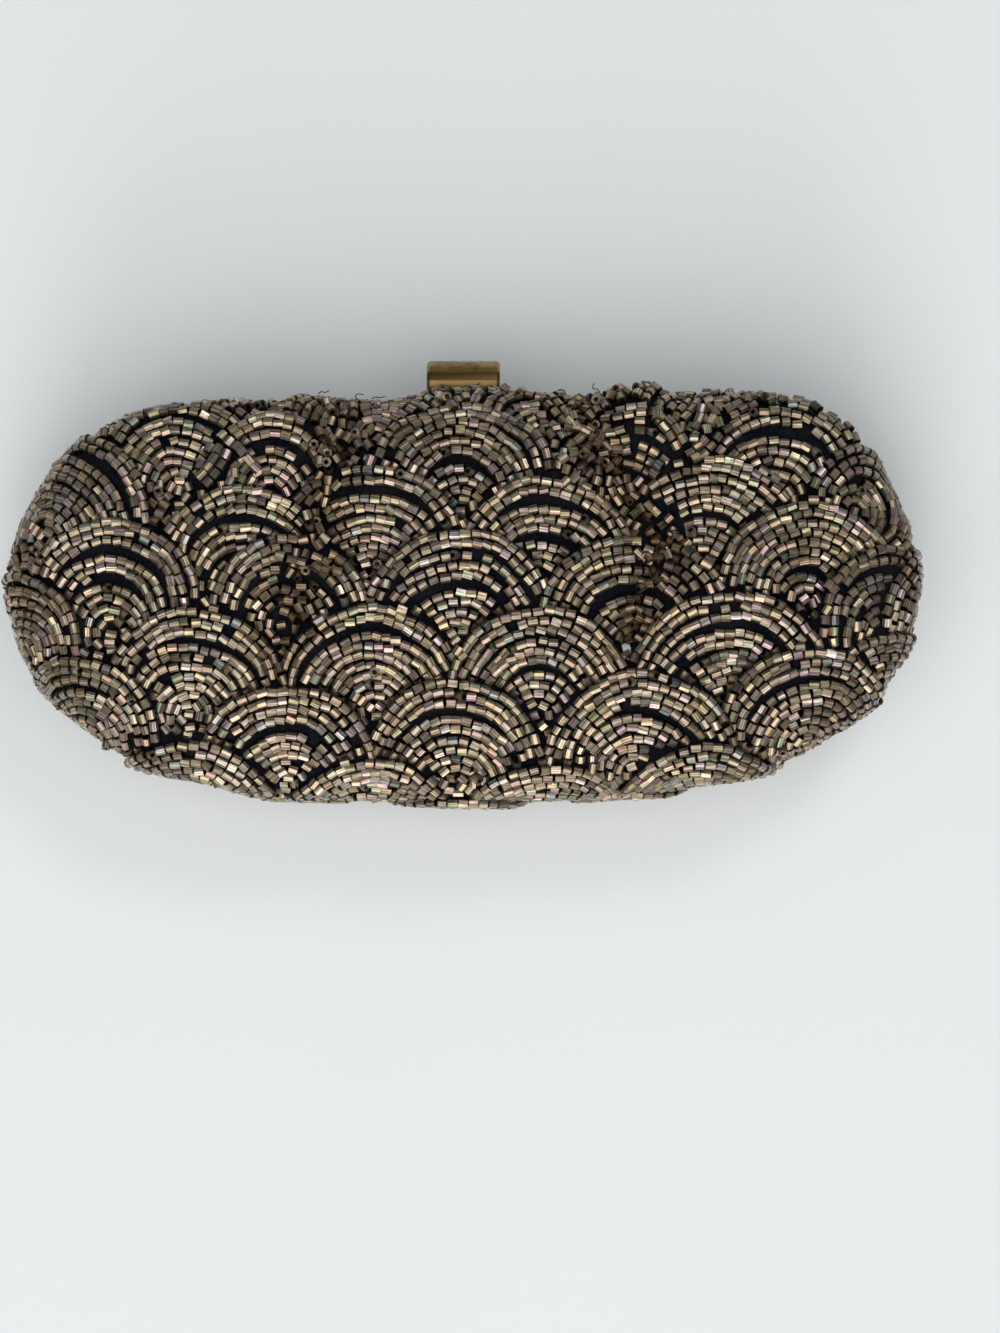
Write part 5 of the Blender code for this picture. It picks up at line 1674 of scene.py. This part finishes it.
@dataclass
class DomedSheet:
    """A cloth that follows a skin of one half, from its middle to its edge at the frame."""

    half: Half
    skin: Skin
    rings: int = 46
    straight: int = 74
    end: int = 76
    outermost: float = 1.0

    def __post_init__(self) -> None:
        """Map the skin."""
        self.map = SkinMap(self.half, self.skin, self.half is Half.REAR)

    def grid(self) -> tuple[Array, float]:
        """Fabric places in rings from the spine to the edge, and the cloth's flat area."""
        station = stations((self.straight, self.end) * 2)
        foot, direction = self.map.spoke(station)
        share = np.linspace(0, self.outermost, self.rings + 1)
        away = share[:, None] * self.map.length_at(station)[None]
        fabric = foot[None] + direction[None] * away[..., None]
        x, y = fabric[-1].T
        area = abs(float((x * np.roll(y, -1) - np.roll(x, -1) * y).sum())) / 2
        return fabric, area

    def build(
        self, name: str, lift: Callable[[Array], Array], wall: float, inwards: bool
    ) -> tuple[Piece, float, Span]:
        """Make the cloth with its thickness.

        Args:
            name: The piece's name.
            lift: Lift of the cloth above its skin at fabric places.
            wall: The cloth's thickness.
            inwards: Whether the cloth is seen from inside the clutch.

        Returns:
            The piece, its flat area, and the width and length of its cut.
        """
        fabric, area = self.grid()
        flat = fabric.reshape(-1, 2)
        points = self.map.place(flat, lift(fabric))
        piece = new_piece(name, points, quads(self.rings, fabric.shape[1], closed=True))
        add_uv(piece, "cloth_uv", flat)
        clean_shell(piece)
        self._face(piece, inwards)
        apply_modifier(piece, "SOLIDIFY", thickness=wall, offset=-1.0, use_rim=True)
        smooth(piece)
        cut = np.ptp(flat, axis=0)
        return piece, area, (float(cut[0]), float(cut[1]))

    def _face(self, piece: Piece, inwards: bool) -> None:
        """Turn an open cloth's faces to the side it is seen from."""
        middle = min(piece.data.polygons, key=lambda face: face.center.xy.length)
        outward = middle.normal.z * self.half.value > 0
        if outward == inwards:
            edit_whole(piece, bpy.ops.mesh.flip_normals)


def blurred(values: Array, passes: int) -> Array:
    """A grid of rings, smoothed along and across them."""
    for _ in range(passes):
        values = (np.roll(values, 1, axis=1) + 2 * values + np.roll(values, -1, axis=1)) / 4
        inner = (values[:-2] + 2 * values[1:-1] + values[2:]) / 4
        values = np.concatenate([values[:1], inner, values[-1:]])
    return values


@dataclass
class Coverings:
    """Cover cloth, wadding and lining of one half."""

    half: Half
    finishes: Finishes
    beadwork: Beadwork
    under_beads: float = 0.00100
    cover_wall: float = 0.0006
    between: float = 0.0004
    dimple: float = 0.0001
    lining_wall: float = 0.0004
    gather: float = 0.00028
    slack: float = 0.00018
    clearance: float = 0.00030
    gather_clearance: float = 0.00026

    def _relief(self, fabric: Array, passes: int) -> Array:
        """The relief of the beads at a grid of fabric places, smoothed in so many passes."""
        flat = fabric.reshape(-1, 2)
        owners = np.maximum(self.beadwork.plan.owner(flat), 0)
        raised = self.beadwork.relief.lift(flat, owners).reshape(fabric.shape[:2])
        return blurred(raised, passes).ravel()

    def build_cover(self) -> None:
        """The dark cloth that the beads are sewn to, just under them."""
        prefix = self.half.prefix
        sheet = DomedSheet(self.half, FORM.bead_line, rings=64, straight=110, end=100)
        piece, area, cut = sheet.build(
            f"{prefix}_cover_cloth",
            lambda fabric: self._relief(fabric, 2) - self.under_beads,
            self.cover_wall,
            inwards=False,
        )
        dress(piece, self.finishes.cloth, "cover_cloth", self.half.body, f"{prefix}_cover")

    def build_wadding(self) -> None:
        """The soft layer between the shell and the cloth."""
        prefix = self.half.prefix
        outer = DomedSheet(self.half, FORM.bead_line, rings=22, straight=40, end=44, outermost=0.94)
        inner = DomedSheet(self.half, FORM.padding_inner, rings=22, straight=40, end=44)
        fabric, other = outer.grid()[0], inner.grid()[0]
        flat = fabric.reshape(-1, 2)
        x, y = flat[:, 0] * 1000, flat[:, 1] * 1000
        dimples = self.dimple * np.sin(x / 6.0) * np.sin(y / 6.0)
        depth = self.under_beads + self.cover_wall + self.between
        top = outer.map.place(flat, self._relief(fabric, 1) - depth + dimples)
        bottom = inner.map.place(other.reshape(-1, 2))
        count, columns = len(flat), fabric.shape[1]
        faces = quads(outer.rings, columns, closed=True)
        faces += [tuple(index + count for index in face[::-1]) for face in faces]
        last = outer.rings * columns
        for column in range(columns):
            here, after = last + column, last + (column + 1) % columns
            faces.append((here, after, count + after, count + here))
        piece = new_piece(f"{prefix}_wadding", np.vstack([top, bottom]), faces)
        clean_shell(piece)
        smooth(piece)
        dress(piece, self.finishes.wadding, "wadding", self.half.body, f"{prefix}_padding")

    def _gathers(self, fabric: Array) -> Array:
        """Lift of the lining: gathers that run in from the edge, and a little slack."""
        rings, columns = fabric.shape[:2]
        share = np.linspace(0, 1, rings)[:, None]
        turn = np.arange(columns)[None] / columns * 2 * math.pi
        gather = np.sin(turn * 58 + 2.2 * np.sin(turn * 7)) + 0.5 * np.sin(turn * 91 + 1.0)
        depth = self.gather * ease(0.55, 0.8, share) * ease(1.0, 0.93, share)
        slack = self.slack * np.sin(turn * 5 + share * 4)
        near = ease(0.55, 0.70, share) * ease(1.0, 0.95, share)
        clear = self.clearance + self.gather_clearance * near
        return -(depth * (gather + 1.5) + slack * share + clear).ravel()

    def build_lining(self) -> None:
        """The satin inside, with small gathers along its edge."""
        prefix = self.half.prefix
        sheet = DomedSheet(self.half, FORM.lining, rings=40, straight=150, end=130)
        name = f"{prefix}_satin_lining"
        piece, area, cut = sheet.build(name, self._gathers, self.lining_wall, inwards=True)
        dress(piece, self.finishes.satin, "lining", self.half.body, f"{prefix}_lining")


@dataclass
class SlipPocket:
    """The pocket on the rear lining, and the binding of its mouth."""

    finishes: Finishes
    half_width: float = 0.0440
    bottom: float = -0.0335
    mouth: float = 0.0124
    gape: float = 0.0009
    ripple: float = 0.00012
    wall: float = 0.0006
    binding: float = 0.0040
    binding_over: float = 0.0003
    binding_lift: float = -0.0007
    columns: int = 66
    rows: int = 36
    binding_rows: int = 8

    def _strip(
        self, name: str, node: str, low: float, high: float, rows: int, lift: float
    ) -> Piece:
        """A stretch of satin on the rear half, with its UV map and thickness.

        Args:
            name: The strip's name.
            node: The CAD node that it stands for.
            low: Its lower edge in the plan.
            high: Its upper edge in the plan.
            rows: Rows of faces.
            lift: How far it is moved from the pocket's skin.

        Returns:
            The strip.
        """
        skin_map = SkinMap(Half.REAR, FORM.pocket, True)
        x = np.linspace(-self.half_width, self.half_width, self.columns + 1)
        ends = skin_map.fabric_of(np.array([[0, low], [0, high]]))[:, 1]
        y = np.linspace(ends[0], ends[1], rows + 1)
        fabric = np.stack(np.meshgrid(x, y), axis=2).reshape(-1, 2)
        across = np.cos(fabric[:, 0] / self.half_width * math.pi / 2)
        opened = ease(self.bottom, self.mouth, fabric[:, 1])
        ripple = self.ripple * np.sin(fabric[:, 0] * 420 + fabric[:, 1] * 90)
        points = skin_map.place(fabric, lift - self.gape * across * opened**2 + ripple * across)
        piece = new_piece(name, points, quads(rows, self.columns + 1, closed=False))
        add_uv(piece, "cloth_uv", fabric)
        apply_modifier(piece, "SOLIDIFY", thickness=self.wall, offset=0.0)
        clean_shell(piece)
        apply_modifier(piece, "BEVEL", width=self.wall * 0.3, segments=2, limit_method="ANGLE")
        smooth(piece)
        return dress(piece, self.finishes.satin, "lining", Half.REAR.body, node)

    def build(self) -> None:
        """Make the panel and its binding."""
        mouth, low = self.mouth + self.binding_over, self.mouth - self.binding
        panel = self._strip("pocket_satin", "pocket_panel", self.bottom, self.mouth, self.rows, 0.0)
        place = low, mouth, self.binding_rows, self.binding_lift
        band = self._strip("pocket_mouth_binding", "pocket_binding", *place)


# Metal


@dataclass
class LeverClasp:
    """The sprung bar that closes the clutch."""

    finishes: Finishes
    centre: tuple[float, float, float] = (0.0, 0.0512, 0.0261)
    radius: float = 0.0054
    wall: float = 0.0013
    half_length: float = 0.00855
    lip: float = math.radians(-50)
    back: float = math.radians(205)
    pivot: Span = (0.0484, 0.0244)
    pin_bore: float = 0.0009
    end_bevel: float = 0.0010
    edge_bevel: float = 0.00014
    sides: int = 72
    bore_sides: int = 32
    room_steps: int = 44

    def _cutter(self) -> Piece:
        """The room inside the bar, open underneath."""
        inner = self.radius - self.wall
        sweep = self.back - self.lip
        outline = [
            (inner, self.lip + sweep * step / self.room_steps) for step in range(self.room_steps + 1)
        ]
        below = (self.back + self.lip) / 2 + math.pi
        outline += [(2 * self.radius, angle) for angle in (self.back, below, self.lip)]
        near = -self.half_length + self.wall
        points = [
            (near, self.centre[1] + r * math.sin(a), self.centre[2] + r * math.cos(a)) for r, a in outline
        ]
        cutter = new_piece("bar_room", np.array(points), [tuple(range(len(points)))])
        length = {"value": (-2 * near, 0, 0)}
        edit_whole(
            cutter,
            lambda: bpy.ops.mesh.extrude_region_move(TRANSFORM_OT_translate=length),
            turn_outwards,
        )
        return cutter

    def build(self) -> None:
        """Model the bar: a rounded tube with a slot, thin walls and softened edges."""
        cutter = self._cutter()
        bar = cylinder("lever_bar", self.sides, self.radius, 2 * self.half_length, self.centre)
        settle(bar)
        bpy.ops.object.mode_set(mode="EDIT")
        select_faces(bar, faces_along_x)
        bpy.ops.mesh.bevel(offset=self.end_bevel, segments=5, profile=0.5, affect="EDGES")
        bpy.ops.object.mode_set(mode="OBJECT")
        pivot = (0, *self.pivot)
        bore = cylinder("bar_bore", self.bore_sides, self.pin_bore, 3 * self.half_length, pivot)
        for tool in (cutter, bore):
            apply_modifier(bar, "BOOLEAN", operation="DIFFERENCE", solver="EXACT", object=tool)
            bpy.data.objects.remove(tool, do_unlink=True)
        clean_shell(bar, 2e-6)
        width = self.edge_bevel
        apply_modifier(bar, "BEVEL", width=width, segments=2, limit_method="ANGLE", angle_limit=0.6)
        smooth(bar, 35)
        dress(bar, self.finishes.lever, "brass", "clasp", "clasp_bar")


@dataclass
class Fittings:
    """The metal and board pieces that keep the shapes of the frame."""

    finishes: Finishes
    nodes: dict[str, Piece]

    def dress_all(self) -> None:
        """Give each shown CAD node its finish."""
        brass, steel, board = self.finishes.brass, self.finishes.steel, self.finishes.board
        by_word = dict.fromkeys(("frame", "hinge_leaf", "rivet", "clasp_bracket", "strike_plate"), brass)
        by_word |= {"pin": steel, "spring": steel, "shell": board}
        for name, node in self.nodes.items():
            if node.hide_render:
                continue
            material = next((m for word, m in by_word.items() if word in name), None)
            if material is None:
                LOG.warning("%s has no finish", name)
                continue
            node.data.materials.clear()
            node.data.materials.append(material)
            LOG.info("%s: %s", name, material.name)


@dataclass
class ThreadEnds:
    """Short ends of the sewing thread that stick out along the upper edge."""

    finishes: Finishes
    beadwork: Beadwork
    thickness: float = 0.00011
    root_lift: float = 0.0010

    def build(self) -> None:
        """Draw the ends as thin tubes."""
        # Pixels of the photograph that each end leaves from, and its steps in millimetres
        ends = (
            ((600, 392), ((0, 0.5, 0.5), (-0.6, 1.2, 0.9), (-1.6, 1.4, 1.0), (-1.3, 2.6, 1.1))),
            ((318, 402), ((0, 0.4, 0.4), (0.7, 0.9, 0.8), (1.6, 0.7, 1.0), (2.5, 1.2, 0.9))),
            ((358, 406), ((0, 0.4, 0.5), (-0.5, 1.0, 0.8), (0.3, 1.6, 0.9), (1.4, 1.4, 0.7))),
            ((372, 404), ((0, 0.4, 0.5), (0.8, 0.7, 0.9), (2.0, 0.6, 1.1), (3.1, 0.9, 0.8))),
        )
        curve = bpy.data.curves.new("thread_ends", "CURVE")
        curve.dimensions = "3D"
        curve.bevel_depth = self.thickness
        curve.bevel_resolution = 2
        curve.resolution_u = 6
        curve.use_fill_caps = True
        skin_map, plan = self.beadwork.map, self.beadwork.plan
        for pixel, steps in ends:
            fabric = skin_map.fabric_of(plan_of(pixel))
            lift = self.beadwork.relief.lift(fabric, np.maximum(plan.owner(fabric), 0))
            root = skin_map.place(fabric, lift + self.root_lift)[0]
            spline = curve.splines.new("BEZIER")
            spline.bezier_points.add(len(steps) - 1)
            for point, step in zip(spline.bezier_points, steps):
                point.co = Vector(root) + Vector(step) / 1000
                point.handle_left_type = point.handle_right_type = "AUTO"
        piece = linked("thread_ends", curve)
        activate(piece)
        bpy.ops.object.convert(target="MESH")
        add_uv(piece, "cloth_uv", np.array([vertex.co.xy for vertex in piece.data.vertices]))
        clean_shell(piece, 1e-7)
        piece.data.shade_smooth()
        dress(piece, self.finishes.cloth, "cover_cloth", Half.FRONT.body)


# Studio


@dataclass
class Studio:
    """Floor, lamps, world and camera."""

    plane_height: float = 0.037
    distance: float = 0.900
    tilt: float = math.radians(2.0)
    sensor: float = 36.0
    clip: Span = (0.05, 20.0)
    floor_size: float = 9.0
    floor_height: float = -0.0001
    floor_colour: Colour = (0.72, 0.755, 0.765)
    floor_shade: float = 0.985
    world_colour: Colour = (0.90, 0.95, 1.0)
    world_strength: float = 0.28
    # Name, place, size, watts and colour
    lamps = (
        ("window", (-0.20, -0.90, 2.40), 2.9, 58.0, (1.0, 0.98, 0.95)),
        ("far_window", (0.80, 1.30, 2.30), 0.6, 10.5, (0.95, 0.98, 1.0)),
        ("low_window", (-0.10, -3.00, 1.30), 1.8, 42.0, (1.0, 0.98, 0.95)),
    )

    def build_floor(self) -> None:
        """A plain pale table top."""
        deselect()
        bpy.ops.mesh.primitive_plane_add(size=self.floor_size, location=(0, 0, self.floor_height))
        floor = bpy.context.object
        floor.name = "table_top"
        material, bench, shader = new_material("pale_table")
        tone = bench.spread(bench.noise(bench.object_places(), 6.0), 0.3, 0.7, (0.0, 1.0))
        darker = tuple(channel * self.floor_shade for channel in self.floor_colour)
        looks = {
            "Base Color": bench.mix(tone, darker, self.floor_colour),
            "Roughness": 0.55,
            "Specular IOR Level": 0.25,
        }
        bench.fill(shader, looks)
        floor.data.materials.append(material)

    def build_light(self) -> None:
        """An even world, two soft windows on the near side and a weak one across from them."""
        world = bpy.data.worlds.new("studio")
        bpy.context.scene.world = world
        world.use_nodes = True
        back = world.node_tree.nodes["Background"]
        back.inputs["Color"].default_value = (*self.world_colour, 1.0)
        back.inputs["Strength"].default_value = self.world_strength
        for name, place, size, energy, colour in self.lamps:
            lamp = bpy.data.lights.new(name, "AREA")
            lamp.shape = "SQUARE"
            lamp.size = size
            lamp.energy = energy
            lamp.color = colour
            item = linked(name, lamp)
            item.location = place
            item.rotation_euler = (-Vector(place)).to_track_quat("-Z", "Y").to_euler()

    def build_camera(self) -> None:
        """The camera, nearly straight above, framed as the photograph is."""
        plan = plan_of([(PHOTO_SIZE[0] / 2, PHOTO_SIZE[1] / 2)])[0]
        target = Vector((plan[0], plan[1], self.plane_height))
        away = Vector((0, -math.sin(self.tilt), math.cos(self.tilt)))
        data = bpy.data.cameras.new("camera")
        data.sensor_width = self.sensor
        data.lens = PIXELS_PER_METRE * data.sensor_width * self.distance / PHOTO_SIZE[1]
        data.clip_start, data.clip_end = self.clip
        camera = linked("camera", data)
        camera.location = target + away * self.distance
        camera.rotation_euler = (-away).to_track_quat("-Z", "Y").to_euler()
        bpy.context.scene.camera = camera
        bpy.context.scene.view_settings.view_transform = "Standard"


def main() -> None:
    """Build the clutch's looks round its frame."""
    logging.basicConfig(level=logging.INFO, format="%(name)s: %(message)s")
    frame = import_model()
    studio = Studio()
    studio.build_camera()
    studio.build_floor()
    studio.build_light()

    finishes = Finishes()
    pattern = TubeBead().model()
    for half in Half:
        beadwork = Beadwork(half)
        beadwork.build(pattern, finishes.beads)
        coverings = Coverings(half, finishes, beadwork)
        coverings.build_wadding()
        coverings.build_cover()
        coverings.build_lining()
        if half is Half.FRONT:
            ThreadEnds(finishes, beadwork).build()
    bpy.data.objects.remove(pattern, do_unlink=True)
    SlipPocket(finishes).build()
    LeverClasp(finishes).build()
    Fittings(finishes, frame["nodes"]).dress_all()


if __name__ == "__main__":
    main()
